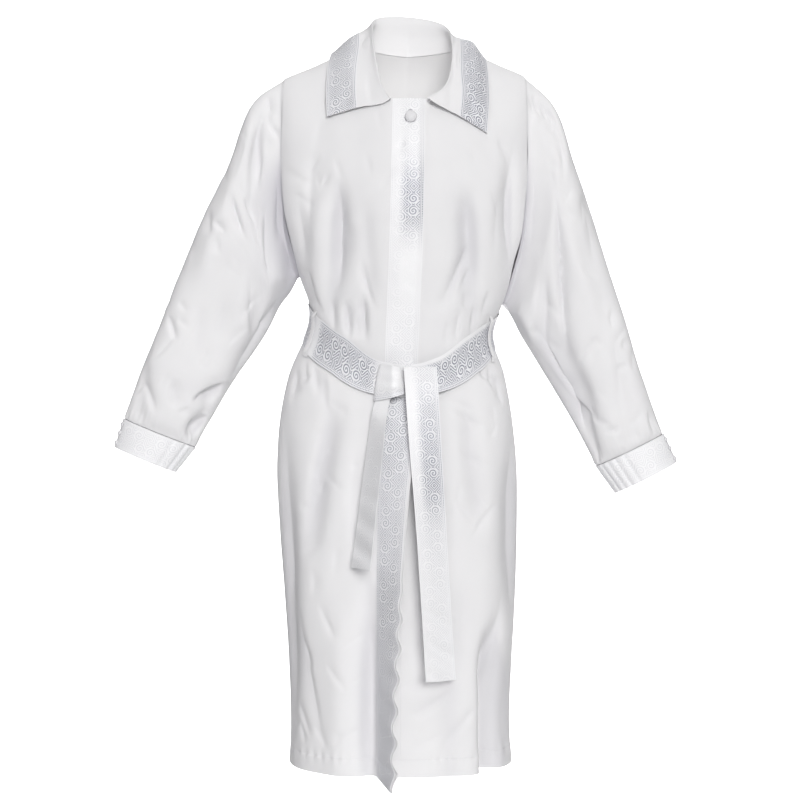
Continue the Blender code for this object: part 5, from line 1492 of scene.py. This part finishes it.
def covered_button(name, node, place, outward, radius, height):
    """Make a covered dome button: a ring profile turned once, with its cloth drawn in below.

    The profile runs from the middle of the flat underside round the rim to the top, and the
    cloth is drawn in by radius * (1 + DRAWN * sin(folds * turn)) near the underside.
    """
    right, up = button_frame(outward)
    rise = np.linspace(-0.5, 0.5, BUTTON_ROWS + 1)[1:-1, None] * math.pi
    turn = np.arange(BUTTON_TURNS) / BUTTON_TURNS * ROUND
    drawn = 1.0 + BUTTON_DRAWN * smooth_step(-rise / (0.5 * math.pi)) * np.sin(BUTTON_FOLDS * turn)
    out = radius * np.cos(rise) ** BUTTON_ROUND * drawn
    level = BUTTON_BASE + np.where(rise < 0.0, BUTTON_BASE, 1.0 - BUTTON_BASE) * np.sin(rise)
    parts = (out * np.cos(turn), out * np.sin(turn), height * level + 0.0 * turn)
    ring = place + sum(part.reshape(-1, 1) * way for part, way in zip(parts, (right, up, outward)))
    points = np.concatenate([ring, [place, place + outward * height]])
    index = np.arange(len(ring)).reshape(BUTTON_ROWS - 1, BUTTON_TURNS)
    beside = np.roll(index, -1, axis=1)
    pole = np.full(BUTTON_TURNS, len(ring))
    under = np.stack([pole, beside[0], index[0]], axis=-1)
    over = np.stack([pole + 1, index[-1], beside[-1]], axis=-1)
    faces = ring_quads(index).tolist() + under.tolist() + over.tolist()
    button = mesh_piece(name, points, faces, button_cloth)
    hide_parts(node)


def tube(name, path, radius, build):
    """Carry a small round section along a path: centre + radius * (cos * side + sin * up)."""
    ahead = unit(np.gradient(path, axis=0))
    side = unit(np.cross(ahead, TUBE_REFERENCE))
    up = np.cross(ahead, side)
    turn = np.arange(TUBE_TURNS)[:, None] / TUBE_TURNS * ROUND
    ring = side[:, None] * np.cos(turn) + up[:, None] * np.sin(turn)
    points = (path[:, None] + ring * radius).reshape(-1, 3)
    index = np.arange(len(points)).reshape(len(path), TUBE_TURNS)
    caps = [index[0][::-1].tolist(), index[-1].tolist()]
    return mesh_piece(name, points, ring_quads(index).tolist() + caps, build)


def stitch_row(path, normals):
    """Set stitches along a path: each a small spindle of eight side points and two ends."""
    run = lengths(path[None], 1)[0]
    pitch = chosen("stitch_pitch")
    half = chosen("stitch_length") / 2.0
    middles = np.arange(pitch / 2.0, run[-1] - pitch / 2.0, pitch)

    def read(values, where):
        return np.stack([np.interp(where, run, values[:, k]) for k in range(3)], axis=-1)

    centre = read(path, middles)
    ahead = unit(read(path, middles + half) - read(path, middles - half))
    out = unit(read(normals, middles))
    side = np.cross(ahead, out)
    corners = []
    for place in (-STITCH_FULL, STITCH_FULL):
        for a, b in ((1.0, 0.0), (0.0, 1.0), (-1.0, 0.0), (0.0, -1.0)):
            spoke = side * a * STITCH_WIDTH / 2.0 + out * b * STITCH_HEIGHT
            corners.append(centre + ahead * half * place + spoke)
    corners += [centre - ahead * half, centre + ahead * half]
    return np.stack(corners, axis=1)


def stitching(name, runs):
    """Join the stitch rows of several runs into one piece."""
    points = np.concatenate([stitch_row(path, normals) for path, normals in runs])
    first = np.arange(len(points))[:, None] * points.shape[1]
    faces = []
    for k in range(4):
        after = (k + 1) % 4
        for face in ((k, after, after + 4, k + 4), (8, after, k), (9, k + 4, after + 4)):
            faces += (first + np.array(face)).tolist()
    mesh_piece(name, points.reshape(-1, 3), faces, white_thread)


class Socket:
    """Wrap one socket of a node tree, so that arithmetic on it adds Math nodes."""

    def __init__(self, tree, socket=None):
        """Keep the tree and the output that this stands for."""
        self.tree = tree
        self.socket = socket

    def fill(self, node, values):
        """Set or link the inputs of a node."""
        for name, value in values.items():
            if isinstance(value, Socket):
                self.tree.links.new(value.socket, node.inputs[name])
            else:
                node.inputs[name].default_value = value

    def node(self, kind, settings, values, result=0):
        """Add a node: its settings first, then the values or links of its sockets."""
        node = self.tree.nodes.new(kind)
        for name, value in settings.items():
            setattr(node, name, value)
        self.fill(node, values)
        return Socket(self.tree, node.outputs[result])

    def math(self, operation, *values):
        """Add a Math node on these values."""
        return self.node("ShaderNodeMath", {"operation": operation}, dict(enumerate(values)))

    def __add__(self, other):
        return self.math("ADD", self, other)

    def __sub__(self, other):
        return self.math("SUBTRACT", self, other)

    def __rsub__(self, other):
        return self.math("SUBTRACT", other, self)

    def __mul__(self, other):
        return self.math("MULTIPLY", self, other)

    def __truediv__(self, other):
        return self.math("DIVIDE", self, other)

    def __pow__(self, other):
        return self.math("POWER", self, other)

    def __abs__(self):
        return self.math("ABSOLUTE", self)

    def wave(self, pitch):
        """Give a sine wave of this pitch."""
        return self.math("SINE", self * (ROUND / pitch))

    def above(self, edge, soft):
        """Rise from 0 to 1 over a soft step round an edge."""
        return self.node("ShaderNodeMapRange", {"interpolation_type": "SMOOTHSTEP"},
                         {0: self, 1: edge - soft, 2: edge + soft, 3: 0.0, 4: 1.0})

    def below(self, edge, soft):
        """Fall from 1 to 0 over a soft step round an edge."""
        return 1.0 - self.above(edge, soft)

    def or_more(self, other):
        """Take the larger of the two."""
        return self.math("MAXIMUM", self, other)

    def blend(self, first, second):
        """Mix two colours by this share."""
        return self.node("ShaderNodeMix", {"data_type": "RGBA"}, {0: self, 6: first, 7: second}, 2)

    def painted(self, title):
        """Read a value painted on the mesh."""
        return self.node("ShaderNodeAttribute", {"attribute_name": title}, {}, 2)

    def noise(self, scale, detail):
        """Read soft noise, 0 to 1, at this place."""
        values = {"Vector": self, "Scale": scale, "Detail": detail, "Roughness": NOISE_ROUGHNESS}
        return self.node("ShaderNodeTexNoise", {}, values)

    def bump(self, strength):
        """Turn this height in metres into a bent normal."""
        values = {"Strength": strength, "Distance": 1.0, "Height": self}
        return self.node("ShaderNodeBump", {}, values)

    def millimetres(self, first, second):
        """Scale this place to millimetres, and give two of its numbers and the whole."""
        scaled = self.node("ShaderNodeVectorMath", {"operation": "SCALE"}, {0: self, 3: MILLIMETRES})
        numbers = [self.node("ShaderNodeSeparateXYZ", {}, {0: scaled}, k) for k in (first, second)]
        return numbers[0], numbers[1], scaled


def flat_place(start):
    """Read the flat map: across the cloth, along it, and both, in millimetres."""
    return start.node("ShaderNodeUVMap", {"uv_map": FLAT_UV}, {}).millimetres(0, 1)


def own_place(start):
    """Read an object's own coordinates."""
    return start.node("ShaderNodeTexCoord", {}, {}, 3)


def finish(build):
    """Make a finish once, named for the function that gives its shader's values."""
    material = bpy.data.materials.get(build.__name__)
    if material is None:
        material = bpy.data.materials.new(build.__name__)
        material.use_nodes = True
        start = Socket(material.node_tree)
        start.fill(material.node_tree.nodes["Principled BSDF"], build(start))
    return material


def white_cotton(start):
    """Give the plain white cloth: a close weave with uneven threads and slight shade changes."""
    across, up, both = flat_place(start)
    weave = across.wave(WEAVE_PITCH) * up.wave(WEAVE_PITCH)
    slub = both.noise(SLUB_SCALE, FINE_DETAIL)
    cloud = both.noise(CLOUD_SCALE, SOFT_DETAIL)
    shade = (cloud - 0.5) * CLOUD_SHARE + (slub - 0.5) * SLUB_SHARE + 0.5
    colour = shade.blend(CLOTH_SHADE, chosen("cloth_colour"))
    # Painted shade: the painted shade attribute darkens the cloth's colour in folds, along the armhole
    # seams and beside the underarms
    return {"Base Color": start.painted(SHADE).blend(colour, CLOTH_PAINTED_SHADE),
            "Roughness": slub * SLUB_ROUGHNESS + CLOTH_ROUGHNESS,
            "Sheen Weight": CLOTH_SHEEN, "Sheen Roughness": SHEEN_ROUGHNESS,
            "Normal": (weave * WEAVE_HEIGHT + slub * SLUB_HEIGHT).bump(CLOTH_BUMP)}


def satin_ribbon(start):
    """Give the ribbon: satin ground with scrolls, lozenges and dotted edges in dull silver thread.

    The field is cut into square cells in two columns, the second one half a cell on. In a cell a
    scroll lies where fract(r / pitch - angle / 2 pi) is near a half, turned the other way in the
    second column, and every third cell holds rings of |x| + |y| instead, as do the corners. Dots
    stand at an even step along each edge. The painted value that sets the pattern's strength also
    darkens the ground, a painted shade and sheen of the satin set by place.
    """
    across, up, both = flat_place(start)
    middle = RIBBON_WIDTH / 2.0 * MILLIMETRES
    column = (across - RIBBON_BORDER) / CELL
    second = across.above(middle, HARD_STEP)
    row = up / CELL + second * 0.5
    x = (row.math("FRACT", column) - 0.5) * CELL
    y = (row.math("FRACT", row) - 0.5) * CELL
    r = (x * x + y * y) ** 0.5
    turn = r.math("ARCTAN2", y, x * (1.0 - second * 2.0)) / ROUND
    coil = r.math("FRACT", r / SCROLL_PITCH - turn + COIL_START)
    scroll = abs(coil - 0.5).below(LINE_SHARE, LINE_SOFT) * r.below(SCROLL_RADIUS, SCROLL_SOFT)
    rings = abs(r.math("FRACT", (abs(x) + abs(y)) / SCROLL_PITCH) - 0.5).below(LINE_SHARE, LINE_SOFT)
    number = row.math("FLOOR", row + second)
    turned = row.math("FLOORED_MODULO", number, CELLS_TO_LOZENGE).below(0.5, HARD_STEP)
    corner = rings * r.above(SCROLL_RADIUS + SCROLL_MARGIN, SCROLL_SOFT)
    filled = turned * rings + (1.0 - turned) * (scroll + corner)
    off_middle = abs(across - middle)
    rim = middle - off_middle
    step = up.math("PINGPONG", up, DOT_STEP / 2.0)
    dot = (((rim - DOT_PLACE) * (rim - DOT_PLACE) + step * step) ** 0.5).below(DOT_SIZE, DOT_SOFT)
    edge = abs(rim - EDGE_LINE).below(EDGE_LINE_HALF, EDGE_LINE_SOFT)
    pattern = (filled * off_middle.below(CELL, FIELD_SOFT)).or_more(dot).or_more(edge * EDGE_LINE_SHARE)
    pattern_and_shade = start.painted(SILVER_AND_PAINTED_SHADE)
    rib = (across + up).wave(SATIN_PITCH)
    slub = both.noise(SATIN_SLUB_SCALE, FINE_DETAIL)
    # Painted shade and sheen: the painted value darkens the satin ground toward its shaded colour, or
    # leaves it bright
    ground = (pattern_and_shade * GROUND_PAINTED_SHADE_SHARE + slub * (1.0 - GROUND_PAINTED_SHADE_SHARE)).blend(
        chosen("ribbon_colour"), RIBBON_PAINTED_SHADE)
    strength = pattern * (pattern_and_shade * (1.0 - PATTERN_LEAST) + PATTERN_LEAST)
    return {"Base Color": strength.blend(ground, chosen("silver_colour")),
            "Roughness": SATIN_ROUGHNESS - pattern * PATTERN_SMOOTH + slub * SATIN_SLUB,
            "Metallic": pattern * pattern_and_shade * SILVER_METAL, "Sheen Weight": SATIN_SHEEN,
            "Normal": (pattern * THREAD_HEIGHT + rib * SATIN_HEIGHT).bump(SATIN_BUMP)}


def button_cloth(start):
    """Give the buttons' tight cloth cover."""
    x, z, both = own_place(start).millimetres(0, 2)
    weave = x.wave(WEAVE_PITCH) * z.wave(WEAVE_PITCH)
    slub = both.noise(BUTTON_SLUB_SCALE, SOFT_DETAIL)
    return {"Base Color": slub.blend(BUTTON_SHADE, chosen("cloth_colour")),
            "Roughness": slub * SLUB_ROUGHNESS + BUTTON_ROUGHNESS,
            "Normal": (weave * WEAVE_HEIGHT).bump(CLOTH_BUMP)}


def white_thread(start):
    """Give the white sewing thread, with its twist."""
    x, z, _ = own_place(start).millimetres(0, 2)
    twist = (x + z).wave(TWIST_PITCH)
    return {"Base Color": (twist * 0.5 + 0.5).blend(THREAD_SHADE, chosen("thread_colour")),
            "Roughness": THREAD_ROUGHNESS, "Normal": (twist * TWIST_HEIGHT).bump(CLOTH_BUMP)}


def pale_floor(start):
    """Give the floor its pale matt paint."""
    cloud = own_place(start).noise(STAGE_SCALE, SOFT_DETAIL)
    return {"Base Color": cloud.blend(chosen("floor_colour"), FLOOR_SHADE),
            "Roughness": STAGE_ROUGHNESS}


def white_backdrop(start):
    """Give the backdrop its even white glow."""
    cloud = own_place(start).noise(STAGE_SCALE, SOFT_DETAIL)
    return {"Base Color": cloud.blend(BACKDROP_WHITE, FLOOR_SHADE), "Roughness": STAGE_ROUGHNESS,
            "Emission Color": BACKDROP_WHITE, "Emission Strength": BACKDROP_GLOW}


def facing_line():
    """Run the stitching of the under front's facing down its face below the belt."""
    z = np.linspace(FACING_LINE_TOP, HEM_HEIGHT + HEM_DEPTH, FACING_LINE_POINTS)

    def on_front(x):
        spots = on_body(x, z, True, fine=True)
        spots[:, 1] += LAP_APART * lap_share(x)
        return spots

    path = on_front(np.linspace(*FACING_LINE_X, FACING_LINE_POINTS))
    out = unit(np.cross(on_front(path[:, 0] + FACING_LINE_STEP) - path, np.gradient(path, axis=0)))
    return path, out * -np.sign(out[:, 1:2])


def neck_button_seat():
    """Find the place and the direction of the neck button on the placket."""
    x, z = NECK_BUTTON_PLACE
    step = chosen("neck_button_radius")
    place, beside, above = (on_body(a, b, True) for a, b in ((x, z), (x + step, z), (x, z + step)))
    outward = unit(np.cross(beside - place, above - place))
    lift = LAY_GAP + chosen("ribbon_wall") + BUTTON_SEAT
    return place + np.array([0.0, -LAP_APART, 0.0]) + outward * lift, outward


def thread_loop(place, outward):
    """Lay the button's thread loop round its upper side: a drop shape open at the button."""
    turn = np.linspace(-LOOP_OPEN, LOOP_OPEN, THREAD_LOOP_POINTS)[:, None]
    right, up = button_frame(outward)
    radius = chosen("neck_button_radius")
    across = radius * THREAD_LOOP_WIDTH * np.sin(turn)
    above = radius * (THREAD_LOOP_RISE + THREAD_LOOP_HEIGHT * np.cos(turn))
    centre = place + across * right + above * up + outward * THREAD_LOOP_RADIUS
    return tube("neck_thread_loop", centre, THREAD_LOOP_RADIUS, white_thread)


def cuff_button_seat(points, normals, share):
    """Read the place and direction of a small button on a cuff's grid."""
    row, row_share = divmod(share * CUFF_RINGS, 1.0)
    column, column_share = divmod(CUFF_BUTTON_TURN * SLEEVE_TURNS, 1.0)
    row, column = int(row), int(column)

    def read(grid):
        near = between(grid[row, column], grid[row, column + 1], column_share)
        far = between(grid[row + 1, column], grid[row + 1, column + 1], column_share)
        return between(near, far, row_share)

    outward = unit(read(normals))
    return read(points) + outward * BUTTON_SEAT, outward


def plane_sweep(name, profile, half, build):
    """Sweep a floor or a backdrop: a profile in y and z carried straight across x."""
    points = np.array([(x, y, z) for y, z in profile for x in (-half, half)])
    return mesh_object(name, points, [(0, 1, 3, 2)], build)


def soft_light(name, kind, place, aim, size, power, colour):
    """Hang one light at a place, facing its aim: a square area, or a far one with a wide disc."""
    light = bpy.data.lights.new(name, kind)
    if kind == "AREA":
        light.shape = "SQUARE"
        light.size = size
    else:
        light.angle = size
    light.energy = power
    light.color = colour
    lamp = bpy.data.objects.new(name, light)
    lamp.location = place
    lamp.visible_camera = False
    lamp.rotation_euler = (Vector(aim) - Vector(place)).to_track_quat("-Z", "Y").to_euler()
    bpy.context.scene.collection.objects.link(lamp)
    return lamp


def length(name, description, default):
    """Describe one length that the user may change."""
    return bpy.props.FloatProperty(
        name=name, description=description, default=default, min=0.0, subtype="DISTANCE",
        unit="LENGTH", precision=4)


def tint(name, description, default):
    """Describe one colour that the user may change."""
    return bpy.props.FloatVectorProperty(
        name=name, description=description, default=default, size=4, min=0.0, max=1.0,
        subtype="COLOR")


class KittelSizes(bpy.types.PropertyGroup):
    """Sizes of the cloth and of the sewing."""

    cloth_wall: length("Cloth", "Thickness of the plain cloth", 0.0010)
    ribbon_wall: length("Ribbon", "Thickness of the ribbon", 0.0007)
    stitch_pitch: length("Stitch step", "Distance from one stitch to the next", 0.0030)
    stitch_length: length("Stitch", "Length of one stitch", 0.0023)
    neck_button_radius: length("Neck button", "Radius of the button at the neck", 0.0095)
    cuff_button_radius: length("Cuff buttons", "Radius of the small buttons", 0.0043)


class KittelColours(bpy.types.PropertyGroup):
    """Colours of the cloth, ribbon, thread and floor."""

    cloth_colour: tint("Cloth", "Plain white cloth", (0.835, 0.832, 0.838, 1.0))
    ribbon_colour: tint("Ribbon", "Satin ground of the ribbon", (0.900, 0.900, 0.910, 1.0))
    silver_colour: tint("Silver thread", "Pattern of the ribbon", (0.250, 0.260, 0.310, 1.0))
    thread_colour: tint("Thread", "Sewing thread", (0.800, 0.800, 0.820, 1.0))
    floor_colour: tint("Floor", "Floor and backdrop", (0.930, 0.930, 0.930, 1.0))


def chosen(name):
    """Read one size or colour as the user has set it."""
    scene = bpy.context.scene
    if name.endswith("_colour"):
        return tuple(getattr(scene.kittel_colours, name))
    return getattr(scene.kittel_sizes, name)


class KITTEL_OT_fronts(bpy.types.Operator):
    """Make the two fronts, of which the wearer's right one lies on top"""

    bl_idname = "kittel.fronts"
    bl_label = "Fronts"

    def execute(self, context):
        """Build both fronts."""
        for side, node in FRONT_NODES:
            outer, inner, _, keep = front_surface(side)
            shell(node + "_cloth", node, outer, inner, white_cotton, keep=keep,
                  shade=body_shade(outer, True, ((side, -1),)))
        return {"FINISHED"}


class KITTEL_OT_back(bpy.types.Operator):
    """Make the back and the facing inside its neck"""

    bl_idname = "kittel.back"
    bl_label = "Back"

    def execute(self, context):
        """Build the back and its facing."""
        outer, inner, normals, climb = back_surface()
        shell("back_cloth", "back", outer, inner, white_cotton,
              shade=body_shade(outer, False, (("left", 0), ("right", -1))))
        block = slice(BACK_SIDE_COLUMNS, BACK_SIDE_COLUMNS + BACK_NECK_COLUMNS + 1)
        rows = climb >= FACING_CLIMB
        base = (inner - normals * LAY_GAP)[rows, block]
        shell("neck_facing_cloth", "back_neck_facing", base,
              base - normals[rows, block] * FACING_WALL, white_cotton)
        return {"FINISHED"}


class KITTEL_OT_sleeves(bpy.types.Operator):
    """Make both sleeves"""

    bl_idname = "kittel.sleeves"
    bl_label = "Sleeves"

    def execute(self, context):
        """Build the sleeves."""
        for side, name in SIDE_NAMES:
            points, normals = sleeve_grid(side)
            shell("sleeve_cloth_" + name, "sleeve_" + name, points,
                  points - normals * chosen("cloth_wall"), white_cotton, loop=True,
                  shade=sleeve_shade(side, points))
        return {"FINISHED"}


class KITTEL_OT_cuffs(bpy.types.Operator):
    """Make both cuffs of ribbon, with their pleats"""

    bl_idname = "kittel.cuffs"
    bl_label = "Cuffs"

    def execute(self, context):
        """Build the cuffs."""
        for side, name in SIDE_NAMES:
            points, normals = cuff_grid(side)
            closed = np.concatenate([points, points[:, :1]], axis=1)
            # Pattern strength and painted shade of the cuff's ribbon ground, one value all round
            shell("cuff_cloth_" + name, "cuff_" + name, points,
                  points - normals * chosen("cloth_wall"), satin_ribbon, loop=True,
                  flat=ribbon_map(closed, 0), silver=CUFF_SILVER_AND_SHADE)
        return {"FINISHED"}


class KITTEL_OT_collar(bpy.types.Operator):
    """Make the collar and the ribbon laid along its outer edge"""

    bl_idname = "kittel.collar"
    bl_label = "Collar"

    def execute(self, context):
        """Build the collar and its ribbon."""
        points, normals = collar_grid()
        shell("collar_cloth", "collar", points, points - normals * chosen("cloth_wall"),
              white_cotton)
        rows = slice(-RIBBON_CELLS - 1, None)
        turn = np.linspace(-1.0, 1.0, COLLAR_STEPS + 1)
        # Pattern strength and painted shade and sheen of the collar's ribbon ground, by turn
        silver = along(COLLAR_SILVER_AND_SHADE, turn)[0]
        laid_ribbon("collar_band", "collar_ribbon", points[rows], normals[rows], 0, silver)
        return {"FINISHED"}


class KITTEL_OT_placket(bpy.types.Operator):
    """Lay the ribbon along the free edge of the upper front"""

    bl_idname = "kittel.placket"
    bl_label = "Placket ribbon"

    def execute(self, context):
        """Build the placket ribbon."""
        outer, _, normals, keep = front_surface("left")
        part = (slice(0, int(np.sum(keep[:, 0])) + 1), slice(PLACKET_FIRST, BAND_CELLS + 1))
        x, z = outer[part][..., 0], outer[part][..., 2]
        # Pattern strength and painted shade and sheen of the placket's ribbon ground, by height and side
        silver = silver_over(PLACKET_SILVER_AND_SHADE, z, band_share(x, z))
        laid_ribbon("placket_band", "placket_ribbon", outer[part], normals[part], 1, silver)
        return {"FINISHED"}


class KITTEL_OT_belt(bpy.types.Operator):
    """Make the belt, its knot, its hanging ends and its two loops"""

    bl_idname = "kittel.belt"
    bl_label = "Belt"

    def execute(self, context):
        """Build the belt and what goes with it."""
        belt_band()
        knot_wrap()
        tail("belt_end_long", "belt_tail_long", LONG_TAIL, LONG_TAIL_SILVER_AND_SHADE, LONG_WAVE_FROM)
        tail("belt_end_short", "belt_tail_short", SHORT_TAIL, SHORT_TAIL_SILVER_AND_SHADE, SHORT_WAVE_FROM)
        for name, degrees in LOOP_ANGLES:
            belt_loop("loop_cloth_" + name, "belt_loop_" + name, degrees)
        return {"FINISHED"}


class KITTEL_OT_buttons(bpy.types.Operator):
    """Set the covered buttons at the neck and on the cuffs"""

    bl_idname = "kittel.buttons"
    bl_label = "Buttons"

    def execute(self, context):
        """Build the buttons and the thread loop."""
        place, outward = neck_button_seat()
        covered_button("neck_dome", "button_neck", place, outward,
                       chosen("neck_button_radius"), NECK_BUTTON_HEIGHT)
        thread_loop(place, outward)
        for side, name in SIDE_NAMES:
            points, normals = cuff_grid(side)
            for number, share in enumerate(CUFF_BUTTON_PLACES, start=1):
                place, outward = cuff_button_seat(points, normals, share)
                covered_button("cuff_dome_%s_%d" % (name, number),
                               "cuff_button_%s_%d" % (name, number), place, outward,
                               chosen("cuff_button_radius"), CUFF_BUTTON_HEIGHT)
        return {"FINISHED"}


class KITTEL_OT_stitching(bpy.types.Operator):
    """Sew the visible stitches of the hem and of the under front's facing"""

    bl_idname = "kittel.stitching"
    bl_label = "Stitching"

    def execute(self, context):
        """Build the stitch rows."""
        hem = HEM_PLACES.index(HEM_DEPTH)
        for side, node in FRONT_NODES:
            outer, _, normals, _ = front_surface(side)
            rows = [(outer[hem], normals[hem])]
            if side == "right":
                rows.append(facing_line())
            stitching(node + "_stitches", rows)
        outer, _, normals, _ = back_surface()
        stitching("back_stitches", [(outer[hem], normals[hem])])
        return {"FINISHED"}


class KITTEL_OT_stage(bpy.types.Operator):
    """Set the floor, backdrop, lights and camera"""

    bl_idname = "kittel.stage"
    bl_label = "Stage"

    def execute(self, context):
        """Build the stage."""
        floor = plane_sweep("floor", FLOOR_PROFILE, FLOOR_HALF, pale_floor)
        backdrop = plane_sweep("backdrop", BACKDROP_PROFILE, BACKDROP_HALF, white_backdrop)
        for row in LIGHTS:
            soft_light(*row)
        world = bpy.data.worlds.new("studio")
        world.use_nodes = True
        sky = world.node_tree.nodes["Background"]
        sky.inputs["Color"].default_value = SKY_COLOUR
        sky.inputs["Strength"].default_value = SKY_STRENGTH
        context.scene.world = world
        context.scene.view_settings.view_transform = "Standard"
        lens = bpy.data.cameras.new("camera")
        lens.lens = CAMERA_LENS
        lens.sensor_width = CAMERA_SENSOR
        camera = bpy.data.objects.new("camera", lens)
        camera.location = CAMERA_PLACE
        camera.rotation_euler = (math.pi / 2.0, 0.0, 0.0)
        context.scene.collection.objects.link(camera)
        context.scene.camera = camera
        return {"FINISHED"}


OPERATORS = (
    KITTEL_OT_fronts, KITTEL_OT_back, KITTEL_OT_sleeves, KITTEL_OT_cuffs, KITTEL_OT_collar,
    KITTEL_OT_placket, KITTEL_OT_belt, KITTEL_OT_buttons, KITTEL_OT_stitching, KITTEL_OT_stage,
)


class KITTEL_PT_panel(bpy.types.Panel):
    """List the sizes, colours and steps of the kittel."""

    bl_idname = "KITTEL_PT_panel"
    bl_label = "Kittel"
    bl_space_type = "VIEW_3D"
    bl_region_type = "UI"
    bl_category = "Kittel"

    def draw(self, context):
        """Draw every setting, then one button for each step."""
        for group in (context.scene.kittel_sizes, context.scene.kittel_colours):
            for name in group.__annotations__:
                self.layout.prop(group, name)
        for operator in OPERATORS:
            self.layout.operator(operator.bl_idname)


def register():
    """Register the settings, the steps and the panel."""
    for item in (KittelSizes, KittelColours) + OPERATORS + (KITTEL_PT_panel,):
        bpy.utils.register_class(item)
    bpy.types.Scene.kittel_sizes = bpy.props.PointerProperty(type=KittelSizes)
    bpy.types.Scene.kittel_colours = bpy.props.PointerProperty(type=KittelColours)


def unregister():
    """Take the settings, the steps and the panel away again."""
    del bpy.types.Scene.kittel_sizes
    del bpy.types.Scene.kittel_colours
    for item in (KITTEL_PT_panel,) + OPERATORS[::-1] + (KittelColours, KittelSizes):
        bpy.utils.unregister_class(item)


def corners(box):
    """Give a box as two plain lists of numbers."""
    return [[float(value) for value in corner] for corner in box]


def main():
    """Make every piece and the stage."""
    register()
    bpy.ops.kittel.fronts()
    bpy.ops.kittel.back()
    bpy.ops.kittel.sleeves()
    bpy.ops.kittel.cuffs()
    bpy.ops.kittel.collar()
    bpy.ops.kittel.placket()
    bpy.ops.kittel.belt()
    bpy.ops.kittel.buttons()
    bpy.ops.kittel.stitching()
    bpy.ops.kittel.stage()


if __name__ == "__main__":
    main()
